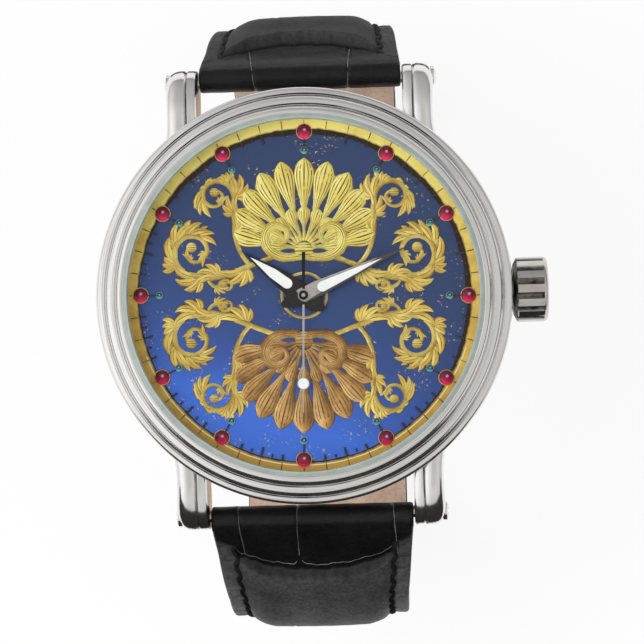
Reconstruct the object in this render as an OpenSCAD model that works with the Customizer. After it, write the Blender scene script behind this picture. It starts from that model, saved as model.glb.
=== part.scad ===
// Analog wristwatch, three hands, round steel case on a buckled leather strap.
// The dial faces +Z, 12 o'clock is +Y, the crown is +X, and the origin is the
// centre of the case back's outer face. Millimetres.

/* [Case] */
// Diameter over the bezel
bezel_d = 44; // [42:0.25:46]
// Height of the bezel above its seat on the mid-case
bezel_h = 2.5; // [2.3:0.1:3.2]
// Radial width of each polished bezel step
bezel_step_w = 0.72; // [0.6:0.02:0.8]
// Overhang of the bezel over the mid-case barrel, all round
bezel_lip = 1.2; // [0.9:0.05:1.35]
// Height of the mid-case barrel
barrel_h = 6.1; // [5.9:0.1:7]
// Radial width of the case from the dial's bore to the bezel's edge
rim_w = 2.8; // [2.6:0.05:3]
// Width of the ledge that the dial rests on
dial_ledge = 0.6; // [0.5:0.05:0.9]
// Thickness of the crystal
crystal_t = 1.4; // [1:0.1:2]
// Thickness of the case back's plate
back_t = 1.2; // [1:0.1:1.3]
// Width of the case back's flange beyond the bore it closes
back_lip = 1; // [0.8:0.05:1.1]

/* [Lugs] */
// Clear width between a pair of lugs
lug_gap = 22; // [20:0.5:23]
// Reach of the lug tips beyond the bezel
lug_reach = 2.9; // [2.6:0.1:4]
// Width of one lug
lug_w = 3.3; // [3:0.1:4]
// Width of the lower inner band of a lug
lug_band_w = 1.15; // [0.8:0.05:1.4]
// Distance of a strap bar from the lug tips
bar_inset = 1.5; // [1.3:0.1:1.8]
// Height of the strap bars above the case back's face
bar_z = 2; // [1.8:0.1:2.6]
// Diameter of a strap bar
bar_d = 1.3; // [1:0.1:1.5]
// Diameter of the domed screw heads on the lugs
bar_head_d = 2; // [1.7:0.1:2.3]

/* [Crown] */
// Diameter of the crown
crown_d = 6.9; // [6:0.1:7.2]
// Length of the crown
crown_l = 3.6; // [3.2:0.1:5]
// Number of flutes round the crown
crown_flutes = 14; // [10:1:20]
// Height of the crown's axis above the case back's face
crown_z = 3.9; // [3.8:0.05:4]
// Travel of the crown when it is pulled to set the time
crown_pull = 1; // [0.6:0.1:1.2]
// Diameter of the winding stem
stem_d = 1; // [0.8:0.05:1.1]

/* [Dial and hands] */
// Thickness of the dial plate
dial_t = 0.4; // [0.3:0.05:0.5]
// Distance of the hour markers' circle from the edge of the dial's opening
marker_inset = 1.5; // [1.3:0.05:2.5]
// Diameter of one hour marker with its collet
marker_d = 1.9; // [1.4:0.1:2.2]
// Length of the hour hand from the centre
hour_hand_l = 8.1; // [6.5:0.1:9.5]
// Width of the hour hand at its widest
hour_hand_w = 2.1; // [1.9:0.05:2.3]
// Length of the minute hand from the centre
minute_hand_l = 12.4; // [10:0.1:14.5]
// Width of the minute hand at its widest
minute_hand_w = 1.72; // [1.5:0.02:1.9]
// Length of the seconds hand from the centre
seconds_hand_l = 12.4; // [10:0.1:14.5]
// Length of the seconds hand's counterweight tail
seconds_tail_l = 4.55; // [3:0.05:6]
// Hour shown, from 0 to 11
show_hour = 10; // [0:1:11]
// Minute shown
show_minute = 10.8; // [0:0.1:59.9]
// Second shown
show_second = 30; // [0:1:59]

// Turn of the dial and of the hands' rest from the case's own 12 o'clock, in degrees
dial_turn = -1.67; // [-3:0.01:3]

/* [Movement] */
// Diameter of the movement
movement_d = 27; // [26:0.5:29]
// Distance from the centre to the third wheel's axis in a movement of 27 mm
third_r = 3.24; // [3.1:0.02:3.5]
// Distance from the centre to the fifth wheel's axis in a movement of 27 mm
fifth_r = 3.22; // [3.1:0.02:3.5]
// Distance from the fifth wheel's axis to the rotor's in a movement of 27 mm
rotor_r = 2.16; // [2:0.02:2.4]
// Distance from the centre to the minute wheel's axis in a movement of 27 mm
minute_r = 2.4; // [2.2:0.02:2.6]
// Thickness of the toothed wheels
wheel_t = 0.15; // [0.1:0.01:0.18]
// Diameter of the battery in a movement of 27 mm
battery_d = 6.8; // [6:0.1:7.2]
// Thickness of the battery
battery_t = 2.1; // [1.6:0.1:2.2]

/* [Strap] */
// Width of the strap from its taper to the buckle
strap_end_w = 20; // [18:0.5:20.5]
// Length over which the strap tapers from the lugs
strap_taper = 13; // [10:1:40]
// Side play of the strap between the lugs, each side
strap_play = 0.15; // [0.1:0.05:0.3]
// Thickness of the padding at its fullest
pad_t = 4.2; // [3.4:0.1:4.6]
// Thickness of the short half at the buckle
short_t = 2.4; // [2.2:0.1:2.6]
// Thickness of the long half's tail
tail_t = 2.2; // [1.8:0.1:2.4]
// Thickness of the lining
lining_t = 0.7; // [0.5:0.05:0.9]
// How far the short half stands out beyond its bar
short_bulge = 7; // [6.6:0.2:9.6]
// How far the long half stands out beyond its bar
long_bulge = 12; // [9.6:0.2:13.6]
// Depth of the closed strap below the case back's face
loop_depth = 42; // [40:0.5:46]
// Width of the two keepers
keeper_w = 4.6; // [4:0.1:5]
// Thickness of the keepers' leather
keeper_t = 1.2; // [0.9:0.1:1.4]
// Free travel of the loose keeper, each way
keeper_travel = 2; // [1:0.1:2.4]

/* [Buckle] */
// Length of the buckle frame from its bar to its front edge
buckle_l = 11.5; // [11:0.1:12.5]
// Width of the frame's side arms
buckle_arm_w = 1.9; // [1.6:0.1:2.4]
// Thickness of the frame
buckle_t = 2; // [1.7:0.1:2.2]
// Diameter of the buckle's bar
buckle_bar_d = 1.3; // [1.1:0.1:1.5]
// Width of the tongue
tongue_w = 1.6; // [1.3:0.1:1.8]

/* [Hidden] */

$fn = 72;
fit = 0.02;        // between parts pressed or laid together
run_fit = 0.03;    // radial clearance of a running shaft
play = 0.12;       // between leather and what slides along it

// Heights of the case, from the back up
barrel_z = 0.5;
seat_z = barrel_z + barrel_h;
dial_bottom_z = seat_z - 0.6;
dial_top_z = dial_bottom_z + dial_t;
neck_top_z = seat_z + 0.65;
crystal_seat_z = seat_z + 1.35;
gasket_t = 0.15;
crystal_z = crystal_seat_z + gasket_t;
bezel_top_z = seat_z + bezel_h;

// Radii and diameters of the case
bezel_r = bezel_d / 2;
barrel_r = bezel_r - bezel_lip;
dial_seat_d = bezel_d - 2 * rim_w;
case_bore_d = dial_seat_d - 2 * dial_ledge;
back_d = case_bore_d + 2 * back_lip;
lug_span = bezel_d + 2 * lug_reach;
bar_y = lug_span / 2 - bar_inset;
neck_r = dial_seat_d / 2 + 0.7;
opening_r = dial_seat_d / 2 - 0.35;
marker_ring_r = opening_r - marker_inset;
crystal_r = opening_r + 0.4;
back_seat_z = back_t;
back_rim_z = back_t + 1.2;
back_rim_r = case_bore_d / 2 - 0.05;

// Axis heights of the gear train, from the bridge to the dial side
bridge_z = 2.4;
bridge_t = 0.5;
plate_z = dial_bottom_z - 1.6;
plate_t = 1;
works_z = plate_z + plate_t;
train_gap = plate_z - bridge_z - bridge_t;
level_h = train_gap / 4;
function level(n) = bridge_z + bridge_t + level_h * (n - 0.5) - wheel_t / 2;

// Tooth counts: 30 turns of the rotor make one of the seconds wheel, 60 of
// the seconds wheel make one of the centre wheel, 12 of that one of the hour wheel
rotor_n = 8;
fifth_n = 40;
fifth_pinion_n = 8;
seconds_n = 48;
seconds_pinion_n = 8;
third_n = 60;
third_pinion_n = 8;
centre_n = 64;
cannon_n = 12;
minute_n = 36;
minute_pinion_n = 10;
hour_n = 40;
setting_n = 20;

// How much larger or smaller than 27 mm the movement is, which all its works follow in plan
works = movement_d / 27;
third_axis = third_r * works;
fifth_axis = fifth_r * works;
rotor_axis = rotor_r * works;
minute_axis = minute_r * works;
cell_d = battery_d * works;

// Modules that give each pair its centre distance
rotor_m = 2 * rotor_axis / (rotor_n + fifth_n);
seconds_m = 2 * fifth_axis / (fifth_pinion_n + seconds_n);
third_m = 2 * third_axis / (seconds_pinion_n + third_n);
centre_m = 2 * third_axis / (third_pinion_n + centre_n);
cannon_m = 2 * minute_axis / (cannon_n + minute_n);
hour_m = 2 * minute_axis / (minute_pinion_n + hour_n);

// Bearings of the off-centre axes, in degrees from 3 o'clock
third_a = 205;
fifth_a = 75;
rotor_a = 110;
minute_a = -38;
setting_a = 12;
third_p = polar(third_axis, third_a);
fifth_p = polar(fifth_axis, fifth_a);
rotor_p = fifth_p + polar(rotor_axis, rotor_a);
minute_p = polar(minute_axis, minute_a);
setting_r = cannon_m * (minute_n + setting_n) / 2;
setting_p = minute_p + polar(setting_r, setting_a);

// Shaft radii of the train
pivot_r = 0.1;
arbor_r = 0.15;
seconds_arbor_r = 0.2;
centre_tube_r = 0.42;
hour_pipe_r = 0.72;
hand_z = dial_top_z + 0.35;
minute_hand_z = hand_z + 0.38;
seconds_hand_z = minute_hand_z + 0.36;
hand_t = 0.16;

// Angles of the hands, clockwise from the case's 12 o'clock
minute_angle = show_minute * 6 - dial_turn;
hour_angle = show_hour * 30 + show_minute / 2 - dial_turn;
second_angle = show_second * 6 - dial_turn;

// Crown and stem
crown_x = bezel_r + 0.15;
boss_x = bezel_r - 0.1;
boss_r = 2.5;
tube_r = 1.15;
tube_end_x = crown_x + crown_pull + 1;
crown_cap_t = 0.9;
stem_x = movement_d / 2 - 5.2;
stem_end_x = crown_x + crown_l - crown_cap_t + 0.4;
groove_x = movement_d / 2 - 3.1;
groove_w = 0.7;
lever_arm = 3.2;
stem_block_x = groove_x + crown_pull + 0.55;
lever_p = [groove_x, lever_arm];

// Strap: how far each half reaches, and its levels at the flat bottom of the loop
short_reach = bar_y + short_bulge;
long_reach = bar_y + long_bulge;
floor_z = -loop_depth;
overlap_out_z = floor_z + keeper_t + play;
overlap_in_z = overlap_out_z + tail_t;
short_out_z = overlap_in_z + play;
short_in_z = short_out_z + short_t;
short_mid_z = short_out_z + short_t / 2;
tail_mid_z = overlap_out_z + tail_t / 2;
tail_rise = buckle_t + 0.32 - keeper_t - play;
strap_w = lug_gap - 2 * strap_play;
end_r = 1.43;
end_y = bar_y + 0.4;
buckle_bar_y = 2;
buckle_bar_z = short_mid_z;
roll_step = 0.05;    // how far the rolled ends stand over the leather they end
buckle_eye_r = short_t / 2 + roll_step;
keeper_y = 5.2;
free_keeper_y = keeper_y + keeper_w + keeper_travel + 0.4;
flat_y = free_keeper_y + keeper_w + keeper_travel - 0.2;
long_flat_y = 17;
tongue_hole_y = -0.75;
hole_pitch = 6.5;
hole_r = 0.95;

function polar(r, a) = [r * cos(a), r * sin(a)];
function arc(c, r, a0, a1, n) = [for (i = [0 : n]) c + polar(r, a0 + (a1 - a0) * i / n)];
function bezier(p, t) = len(p) == 1 ? p[0]
    : bezier([for (i = [0 : len(p) - 2]) p[i] * (1 - t) + p[i + 1] * t], t);
function curve(p, n, from = 0) = [for (i = [from : n]) bezier(p, i / n)];
function smooth(t) = let (c = max(0, min(1, t))) c * c * (3 - 2 * c);
function mix(a, b, t) = a + (b - a) * max(0, min(1, t));

// Lays what stands on the XY plane along X instead, starting at x
module along_x(x, z) translate([x, 0, z]) rotate([0, 90, 0]) children();
module at(p, z) translate([p[0], p[1], z]) children();

// A disc or tube standing on its own base
module tube(r, bore, h) linear_extrude(h) difference() {
    circle(r);
    if (bore > 0) circle(bore);
}

// Half the angle that an involute tooth spans at radius r; slim below 1 leaves backlash
function involute(a) = tan(a) * 180 / PI - a;
function tooth_half(n, m, r, slim) = let (base = n * m / 2 * cos(20), a = acos(base / max(r, base)))
    90 / n * slim + involute(20) - involute(a);
function tooth(n, m, slim, tip) = let (pitch = n * m / 2, root = pitch - 1.15 * m, top = pitch + tip * m,
        h0 = tooth_half(n, m, root, slim), h1 = tooth_half(n, m, pitch, slim),
        h2 = max(0.12 * 90 / n, tooth_half(n, m, top, slim)))
    [[root, -h0], [pitch, -h1], [top, -h2], [top, h2], [pitch, h1], [root, h0]];
module gear(n, m, h, phase = 0, bore = 0, slim = 0.86, tip = 0.85) {
    outline = tooth(n, m, slim, tip);
    linear_extrude(h) difference() {
        polygon([for (i = [0 : n - 1]) for (p = outline) polar(p[0], p[1] + phase + i * 360 / n)]);
        if (bore > 0) circle(bore);
    }
}

// A wheel with its rim, its spokes and its hub
module wheel(n, m, phase, spokes) {
    rim = n * m / 2 - 2.6 * m;
    hub = 0.62;
    difference() {
        gear(n, m, wheel_t, phase);
        if (rim > hub + 0.3) translate([0, 0, -1]) linear_extrude(2) difference() {
            circle(rim);
            circle(hub);
            for (i = [0 : spokes - 1]) rotate(i * 360 / spokes) translate([0, -0.14]) square([rim + 1, 0.28]);
        }
    }
}
// Phase that puts a tooth of n, or with gap = 1 a gap, towards the bearing a
function mesh(a, n, gap = 0) = a + gap * 180 / n;

// Case

// The barrel flanks swell a little between two rounded edges
module barrel_body() rotate_extrude($fn = 144) polygon(concat(
    [[case_bore_d / 2, barrel_z + 0.01], [barrel_r - 1.1, barrel_z]],
    arc([barrel_r - 0.7, barrel_z + 0.75], 0.55, -70, -12, 4),
    curve([[barrel_r - 0.12, barrel_z + 0.9], [barrel_r + 0.12, barrel_z + barrel_h / 2],
        [barrel_r - 0.12, seat_z - 0.5]], 6),
    [[barrel_r - 0.4, seat_z], [neck_r, seat_z], [neck_r, neck_top_z - 0.15], [neck_r - 0.15, neck_top_z],
        [dial_seat_d / 2, neck_top_z], [dial_seat_d / 2, dial_bottom_z], [case_bore_d / 2, dial_bottom_z]]));

// A lug is lofted across its width between side views in (y, z). Each side view has an
// upper line, level under the bezel and then falling to the tip, and an under line below it;
// drop lowers the upper line and back draws the tip in, which rounds the lug's edges
lug_root = 11.5;
lug_level = [lug_root, 10, 9, 8, 7, 6];
lug_steps = 7;
function lug_upper(drop, back) = let (end = lug_span / 2, tip = end - back, top = seat_z - 0.35 - drop) concat(
    [for (u = lug_level) [end - u, top]],
    curve([[end - 5.2, top], [tip - 1.2, top - 0.25], [tip - 0.05, bar_z + 2.4], [tip, bar_z - 0.5]], lug_steps));
function lug_under(back) = let (end = lug_span / 2, tip = end - back) concat(
    [for (u = lug_level) [end - u, mix(barrel_z + 0.2, barrel_z - 0.1, (lug_root - u) / 6)]],
    [for (i = [0 : lug_steps]) bezier([[end - 5, barrel_z - 0.1], [tip - 1.6, bar_z - 2.05],
        [tip, bar_z - 2.05], [tip, bar_z - 1]], i / lug_steps)]);
// Outer edge of a lug in plan: it leaves the barrel in a flare, narrows to a waist and
// swells again at the bar
function lug_edge(y) = let (u = lug_span / 2 - y, waist = lug_gap / 2 + lug_w - 0.15,
        flare_y = lug_span / 2 - lug_root + 0.7, flare_x = sqrt(pow(barrel_r, 2) - pow(flare_y, 2)))
    waist + 0.17 * smooth((5 - u) / 3) + (flare_x - waist) * pow(max(0, (u - 6) / (lug_root - 6.7)), 2);
// Stations across the ridge: share of the width, drop and back, with a broad rounded outer corner
ridge_stations = [[0, 0.35, 0.2], [0.06, 0.1, 0.08], [0.2, 0, 0], [0.54, 0, 0.1], [0.74, 0.05, 0.32],
    [0.88, 0.19, 0.7], [0.965, 0.44, 1.15], [1, 0.8, 1.7]];
// The same across the lower inner band, which a fine groove parts from the ridge
band_stations = [[0, 0.8, 0.35], [0.1, 0.5, 0.12], [0.28, 0.38, 0.05], [0.86, 0.38, 0.05], [1, 0.78, 0.3],
    [1.4, 0.95, 0.45]];
module lug_loft(stations, x_in, x_out) {
    n = 2 * (len(lug_level) + lug_steps + 1);
    last = len(stations) - 1;
    points = [for (s = stations) let (top = lug_upper(s[1], s[2]), low = lug_under(s[2]))
        for (j = [0 : n - 1]) let (q = j < n / 2 ? top[j] : low[n - 1 - j])
            [x_in + (x_out(q[0]) - x_in) * s[0], q[0], q[1]]];
    sides = [for (i = [0 : last - 1]) for (j = [0 : n - 1]) let (a = i * n + j, b = i * n + (j + 1) % n)
        each [[a, b, b + n], [a, b + n, a + n]]];
    caps = [for (j = [0 : n / 2 - 2]) let (k = n - 1 - j, m = last * n)
        each [[j, k, j + 1], [k, k - 1, j + 1], [m + j, m + j + 1, m + k], [m + k, m + j + 1, m + k - 1]]];
    polyhedron(points, concat(sides, caps));
}
module lug() {
    lug_loft(ridge_stations, lug_gap / 2 + lug_band_w - 0.02, function (y) lug_edge(y));
    lug_loft(band_stations, lug_gap / 2, function (y) lug_gap / 2 + lug_band_w);
}
module four_lugs() for (i = [0, 1], j = [0, 1]) mirror([i, 0, 0]) mirror([0, j, 0]) children();

module mid_case() color("silver") difference() {
    union() {
        barrel_body();
        four_lugs() lug();
        along_x(barrel_r - 1, crown_z) cylinder(r = boss_r, h = boss_x - barrel_r + 1);
    }
    translate([0, 0, -5]) cylinder(d = case_bore_d, h = seat_z + 10, $fn = 144);
    // recess of the case back
    translate([0, 0, -5]) cylinder(r = back_d / 2 + 0.05, h = back_seat_z + 5, $fn = 144);
    // bores for the strap bars and spot faces for their screw heads
    for (s = [-1, 1]) translate([0, s * bar_y, bar_z]) rotate([0, 90, 0])
        cylinder(r = bar_d / 2 + run_fit, h = 2 * lug_gap, center = true);
    four_lugs() translate([lug_gap / 2 + lug_w - 0.25, bar_y, bar_z]) rotate([0, 90, 0])
        cylinder(r = bar_head_d / 2 + 0.05, h = 4);
    // bore of the crown tube
    along_x(case_bore_d / 2 - 2, crown_z) cylinder(r = tube_r, h = bezel_r);
    // the lugs stop at the dial seat
    translate([0, 0, dial_bottom_z]) cylinder(d = dial_seat_d, h = seat_z, $fn = 144);
}

// One rounded step: a concave foot and a convex crest between two heights
function bezel_step(r, z0, z1) = [[r + 0.24, z0], [r + 0.12, z0 + 0.03], [r - 0.02, z0 + (z1 - z0) * 0.35],
    [r - 0.12, z0 + (z1 - z0) * 0.75], [r - 0.24, z1 - 0.03], [r - 0.36, z1]];
module bezel() color("gainsboro") {
    crest_r = crystal_r + fit + 0.35;
    step2_r = crest_r + 0.24;
    step1_r = step2_r + bezel_step_w + 0.42;
    edge_z = seat_z + bezel_h * 0.42;
    mid_z = seat_z + bezel_h * 0.72;
    rotate_extrude($fn = 144) polygon(concat(
        [[neck_r + fit, seat_z], [bezel_r - 0.45, seat_z]],
        arc([bezel_r - 0.4, seat_z + 0.42], 0.4, -80, 0, 4),
        arc([bezel_r - 0.5, edge_z - 0.55], 0.5, 10, 75, 5),
        bezel_step(step1_r, edge_z, mid_z - 0.05),
        bezel_step(step2_r, mid_z, bezel_top_z),
        [[crystal_r + fit, bezel_top_z - 0.04], [crystal_r + fit, crystal_seat_z],
            [opening_r, crystal_seat_z], [opening_r, dial_top_z + fit],
            [dial_seat_d / 2 - fit, dial_top_z + fit], [dial_seat_d / 2 - fit, neck_top_z + 0.05],
            [neck_r + fit, neck_top_z + 0.05]]));
}

// Flat glass with a ground bevel round its edge
module crystal() color([0.8, 0.9, 0.9, 0.35]) rotate_extrude($fn = 144) polygon([[0, crystal_z],
    [crystal_r, crystal_z], [crystal_r, crystal_z + crystal_t - 0.35],
    [opening_r + 0.05, crystal_z + crystal_t], [0, crystal_z + crystal_t]]);
module crystal_gasket() color("whitesmoke") translate([0, 0, crystal_seat_z])
    tube(crystal_r, opening_r + 0.05, gasket_t, $fn = 144);

// Snap back: bevelled flange, locating rim and a pry notch
module case_back() color("lightgray") difference() {
    rotate_extrude($fn = 144) polygon([[0, 0], [back_d / 2 - 1.6, 0], [back_d / 2 - 0.3, barrel_z],
        [back_d / 2, barrel_z + 0.2], [back_d / 2, back_seat_z], [back_rim_r + 0.45, back_seat_z],
        [back_rim_r + 0.45, back_seat_z - 0.3], [back_rim_r, back_seat_z - 0.3],
        [back_rim_r, back_rim_z - 0.2], [back_rim_r - 0.15, back_rim_z], [back_rim_r - 0.8, back_rim_z],
        [back_rim_r - 0.8, back_t], [0, back_t]]);
    translate([0, -back_d / 2, 0]) cylinder(r = 0.9, h = barrel_z + 0.1);
    // the stem passes above the rim, so the rim is relieved there
    translate([back_rim_r - 2, -1.5, back_t]) cube([3, 3, 2]);
}
module back_gasket() color("black") translate([0, 0, back_seat_z - 0.3])
    tube(back_rim_r + 0.43, back_rim_r + fit, 0.3, $fn = 144);

// Strap bars with a slotted, domed screw at each end
module strap_bars() color("gray") for (s = [-1, 1]) translate([0, s * bar_y, bar_z]) rotate([0, 90, 0])
    difference() {
        cylinder(d = bar_d, h = lug_gap + 2 * lug_w - 0.7, center = true);
        for (t = [-1, 1]) translate([0, 0, t * (lug_gap / 2 + lug_w - 0.35)])
            cylinder(d = bar_d * 0.55, h = 4, center = true);
    }
module bar_screws() color("silver") four_lugs() translate([lug_gap / 2 + lug_w - 0.25, bar_y, bar_z])
    rotate([0, 90, 0]) difference() {
        union() {
            intersection() {
                cylinder(d = bar_head_d, h = 0.7);
                translate([0, 0, -bar_head_d * 0.62]) sphere(r = bar_head_d * 0.62 + 0.68);
            }
            translate([0, 0, -1.7]) cylinder(d = bar_d * 0.55 - 2 * fit, h = 1.8);
        }
        translate([-bar_head_d, -0.15, 0.4]) cube([2 * bar_head_d, 0.3, 1]);
    }

// Crown

module crown_tube() color("silver") along_x(case_bore_d / 2 - 0.3, crown_z) difference() {
    union() {
        cylinder(r = tube_r - 0.005, h = boss_x - case_bore_d / 2 + 0.3);
        cylinder(r = tube_r - 0.15, h = tube_end_x - case_bore_d / 2 + 0.3);
    }
    translate([0, 0, -1]) cylinder(r = stem_d / 2 + run_fit, h = 10);
}
// Fluted grip between two bevels, hollow towards the case
module crown() color("silver") along_x(crown_x, crown_z) difference() {
    r = crown_d / 2;
    rotate_extrude() polygon(concat(
        [[tube_r + 0.42, 0], [r - 0.75, 0], [r - 0.1, 0.35], [r, 0.45], [r, crown_l - 0.5]],
        arc([r - 0.45, crown_l - 0.45], 0.45, 5, 80, 4),
        [[0, crown_l], [0, crown_l - crown_cap_t], [tube_r + 0.42, crown_l - crown_cap_t]]));
    for (i = [0 : crown_flutes - 1]) rotate((i + 0.5) * 360 / crown_flutes)
        translate([r + 0.12, 0, -1]) cylinder(r = 4.2 / crown_flutes + 0.08, h = crown_l + 0.55, $fn = 32);
    translate([0, 0, crown_l - crown_cap_t - 1]) cylinder(r = stem_d / 2 + fit / 2, h = 1.4);
}
// Ring that seals the crown on its tube and travels with it
module crown_gasket() color("black") along_x(crown_x + 0.35, crown_z)
    tube(tube_r + 0.38, tube_r - 0.15 + run_fit, 0.6);

module stem() color("lightgray") along_x(stem_x, crown_z) difference() {
    union() {
        translate([0, 0, 0.9]) cylinder(d = stem_d, h = stem_end_x - stem_x - 0.9);
        cylinder(d = stem_d * 0.6, h = 3);
    }
    // groove that takes the setting lever's pin
    translate([0, 0, groove_x - stem_x]) difference() {
        cylinder(d = 2 * stem_d, h = groove_w, center = true);
        cylinder(d = stem_d * 0.6, h = 2 * groove_w, center = true);
    }
}
module clutch_pinion() color("goldenrod") along_x(stem_x + 0.1, crown_z)
    gear(10, 0.11, 0.7, 0, stem_d * 0.3 + fit / 2);
// Pivoted lever whose pin rides in the stem's groove
module setting_lever() color("lightsteelblue") {
    lever_z = crown_z - stem_d / 2 - 0.4;
    at([0, 0], lever_z) linear_extrude(0.2) difference() {
        union() {
            translate(lever_p) circle(0.9);
            translate([groove_x - 0.35, 0]) square([0.7, lever_arm]);
            translate([groove_x, 0]) circle(0.4);
            translate(lever_p) rotate(35) translate([0, -0.3]) square([2, 0.6]);
        }
        translate(lever_p) circle(0.35 + run_fit);
    }
    at([groove_x, 0], lever_z + 0.1) cylinder(r = 0.2, h = 0.47, $fn = 24);
}

// Dial and hands

module dial() color([0.15, 0.25, 0.65]) {
    translate([0, 0, dial_bottom_z]) tube(dial_seat_d / 2 - 0.08, hour_pipe_r + 0.15, dial_t, $fn = 144);
    // two feet that stand in the movement holder
    for (a = [100, 280]) at(polar(movement_d / 2 + 1.6, a), dial_bottom_z - 0.9) cylinder(r = 0.4, h = 1);
}
// Round red stones in gold collets, one at each hour
module hour_markers() color("crimson") for (i = [0 : 11])
    at(polar(marker_ring_r, i * 30 + dial_turn), dial_top_z) rotate_extrude($fn = 32)
        polygon(concat([[0, 0], [marker_d / 2, 0], [marker_d / 2, 0.12], [marker_d / 2 - 0.1, 0.14]],
            [for (a = [0 : 15 : 90]) [(marker_d / 2 - 0.12) * cos(a), 0.12 + 0.28 * sin(a)]]));

// Outline of a leaf hand pointing to +Y: widest by the hub, belly at half length, chamfered tail
hand_tail = 2.55;
function leaf(l, w, belly) = [[0, l], [belly, l / 2], [w / 2, 1.6], [w * 0.48, 0],
    [w * 0.43, -hand_tail * 0.62], [w * 0.15, -hand_tail], [-w * 0.15, -hand_tail],
    [-w * 0.43, -hand_tail * 0.62], [-w * 0.48, 0], [-w / 2, 1.6], [-belly, l / 2]];
// Outline of the window that a leaf leaves for its luminous insert, round by the hub
lume_r = 0.56;
function window(l, belly, tip) = concat([[0, tip], [belly, l / 2]],
    arc([0, 1.6 + lume_r], lume_r, 0, -180, 8), [[-belly, l / 2]]);
module hand(l, w, belly, inner, tip, bore) linear_extrude(hand_t) difference() {
    polygon(leaf(l, w, belly));
    polygon(window(l, inner, tip));
    circle(bore);
}
module lume(l, inner, tip) translate([0, 0, 0.01]) linear_extrude(hand_t - 0.03)
    polygon([for (p = window(l, inner, tip)) [p[0] * 0.97, (p[1] - l / 2) * 0.995 + l / 2]]);
hour_belly = hour_hand_w * 0.35;
hour_inner = hour_belly * 0.72;
hour_tip = hour_hand_l * 0.86;
minute_belly = minute_hand_w * 0.29;
minute_inner = minute_belly * 0.6;
minute_tip = minute_hand_l * 0.74;
module hour_hand() color("dimgray") translate([0, 0, hand_z]) rotate(-hour_angle)
    hand(hour_hand_l, hour_hand_w, hour_belly, hour_inner, hour_tip, hour_pipe_r + 0.005);
module hour_lume() color("white") translate([0, 0, hand_z]) rotate(-hour_angle)
    lume(hour_hand_l, hour_inner, hour_tip);
module minute_hand() color("gray") translate([0, 0, minute_hand_z]) rotate(-minute_angle)
    hand(minute_hand_l, minute_hand_w, minute_belly, minute_inner, minute_tip, centre_tube_r + 0.005);
module minute_lume() color("white") translate([0, 0, minute_hand_z]) rotate(-minute_angle)
    lume(minute_hand_l, minute_inner, minute_tip);
// Needle with a tapered tail, a hub cap and a ring that holds the luminous dot
dot_y = seconds_hand_l * 0.75;
dot_r = 0.56;
module seconds_hand() color("darkgray") translate([0, 0, seconds_hand_z]) rotate(-second_angle) {
    linear_extrude(0.1) difference() {
        union() {
            polygon([[-0.19, -seconds_tail_l], [0.19, -seconds_tail_l], [0.12, 0], [0.09, dot_y],
                [0.05, seconds_hand_l], [-0.05, seconds_hand_l], [-0.09, dot_y], [-0.12, 0]]);
            circle(0.6);
            translate([0, dot_y]) circle(dot_r + 0.09);
        }
        circle(seconds_arbor_r + 0.005);
        translate([0, dot_y]) circle(dot_r);
    }
    translate([0, 0, 0.1]) tube(0.36, seconds_arbor_r + 0.005, 0.16, $fn = 32);
}
module seconds_dot() color("white") translate([0, 0, seconds_hand_z]) rotate(-second_angle)
    translate([0, dot_y, 0.01]) cylinder(r = dot_r - 0.01, h = 0.12);

// Movement

module movement_holder() color("ivory") {
    r = case_bore_d / 2 - 0.08;
    pocket_r = movement_d / 2 + 1.2;
    difference() {
        translate([0, 0, back_rim_z]) tube(r, movement_d / 2 + 0.05, dial_bottom_z - back_rim_z, $fn = 96);
        // slot for the stem and its tube
        translate([0, -1.4, 0]) cube([r + 1, 2.8, 10]);
        // sockets of the dial feet
        for (a = [100, 280]) at(polar(movement_d / 2 + 1.6, a), dial_bottom_z - 1) cylinder(r = 0.45, h = 3);
        // moulded weight-saving pockets
        for (a = [40 : 40 : 320]) if (abs(a - 100) > 10 && abs(a - 280) > 10) rotate(a)
            translate([pocket_r, -1.6, -1]) cube([r - 1.4 - pocket_r, 3.2, dial_bottom_z - 0.2]);
    }
}

battery_p = polar(8.3 * works, 250);
can_p = polar(9.6 * works, 150);
coil_p = polar(8.2 * works, 52);
screw_ps = [polar(5.4 * works, 15), polar(5.6 * works, 150), polar(5.3 * works, 292)];

module main_plate() color("goldenrod") {
    difference() {
        union() {
            translate([0, 0, plate_z]) cylinder(d = movement_d, h = plate_t);
            // rim that carries the dial
            translate([0, 0, works_z]) tube(movement_d / 2, movement_d / 2 - 1, dial_bottom_z - works_z);
            // block that guides the stem
            translate([stem_block_x, -1.5, bridge_z + 0.1])
                cube([movement_d / 2 - 0.4 - stem_block_x, 3, plate_z - bridge_z]);
            // pillars of the train bridge
            for (p = screw_ps) at(p, bridge_z + bridge_t) cylinder(r = 0.8, h = train_gap + 0.1, $fn = 32);
        }
        along_x(stem_x - 0.3, crown_z) cylinder(r = stem_d / 2 + run_fit, h = movement_d / 2);
        // room for the clutch pinion and the stem
        translate([stem_x - 0.5, -0.9, crown_z - 0.9]) cube([groove_x - stem_x + 1.5, 1.8, 1.8]);
        at([0, 0], 0) cylinder(r = centre_tube_r + run_fit, h = 10);
        for (p = [third_p, fifth_p, rotor_p]) at(p, plate_z - 1) cylinder(r = pivot_r + run_fit, h = 1.6, $fn = 24);
        for (p = screw_ps) at(p, 0) cylinder(r = 0.3, h = plate_z + 0.3, $fn = 24);
        at(battery_p, 0) cylinder(r = cell_d / 2 + 0.15, h = plate_z + 0.25);
    }
    // studs of the minute wheel and the setting wheel, and of the setting lever
    for (p = [minute_p, setting_p]) at(p, works_z) cylinder(r = 0.22, h = 0.55, $fn = 24);
    at(lever_p, crown_z - 0.95) cylinder(r = 0.35, h = plate_z - crown_z + 1, $fn = 24);
}

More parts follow.
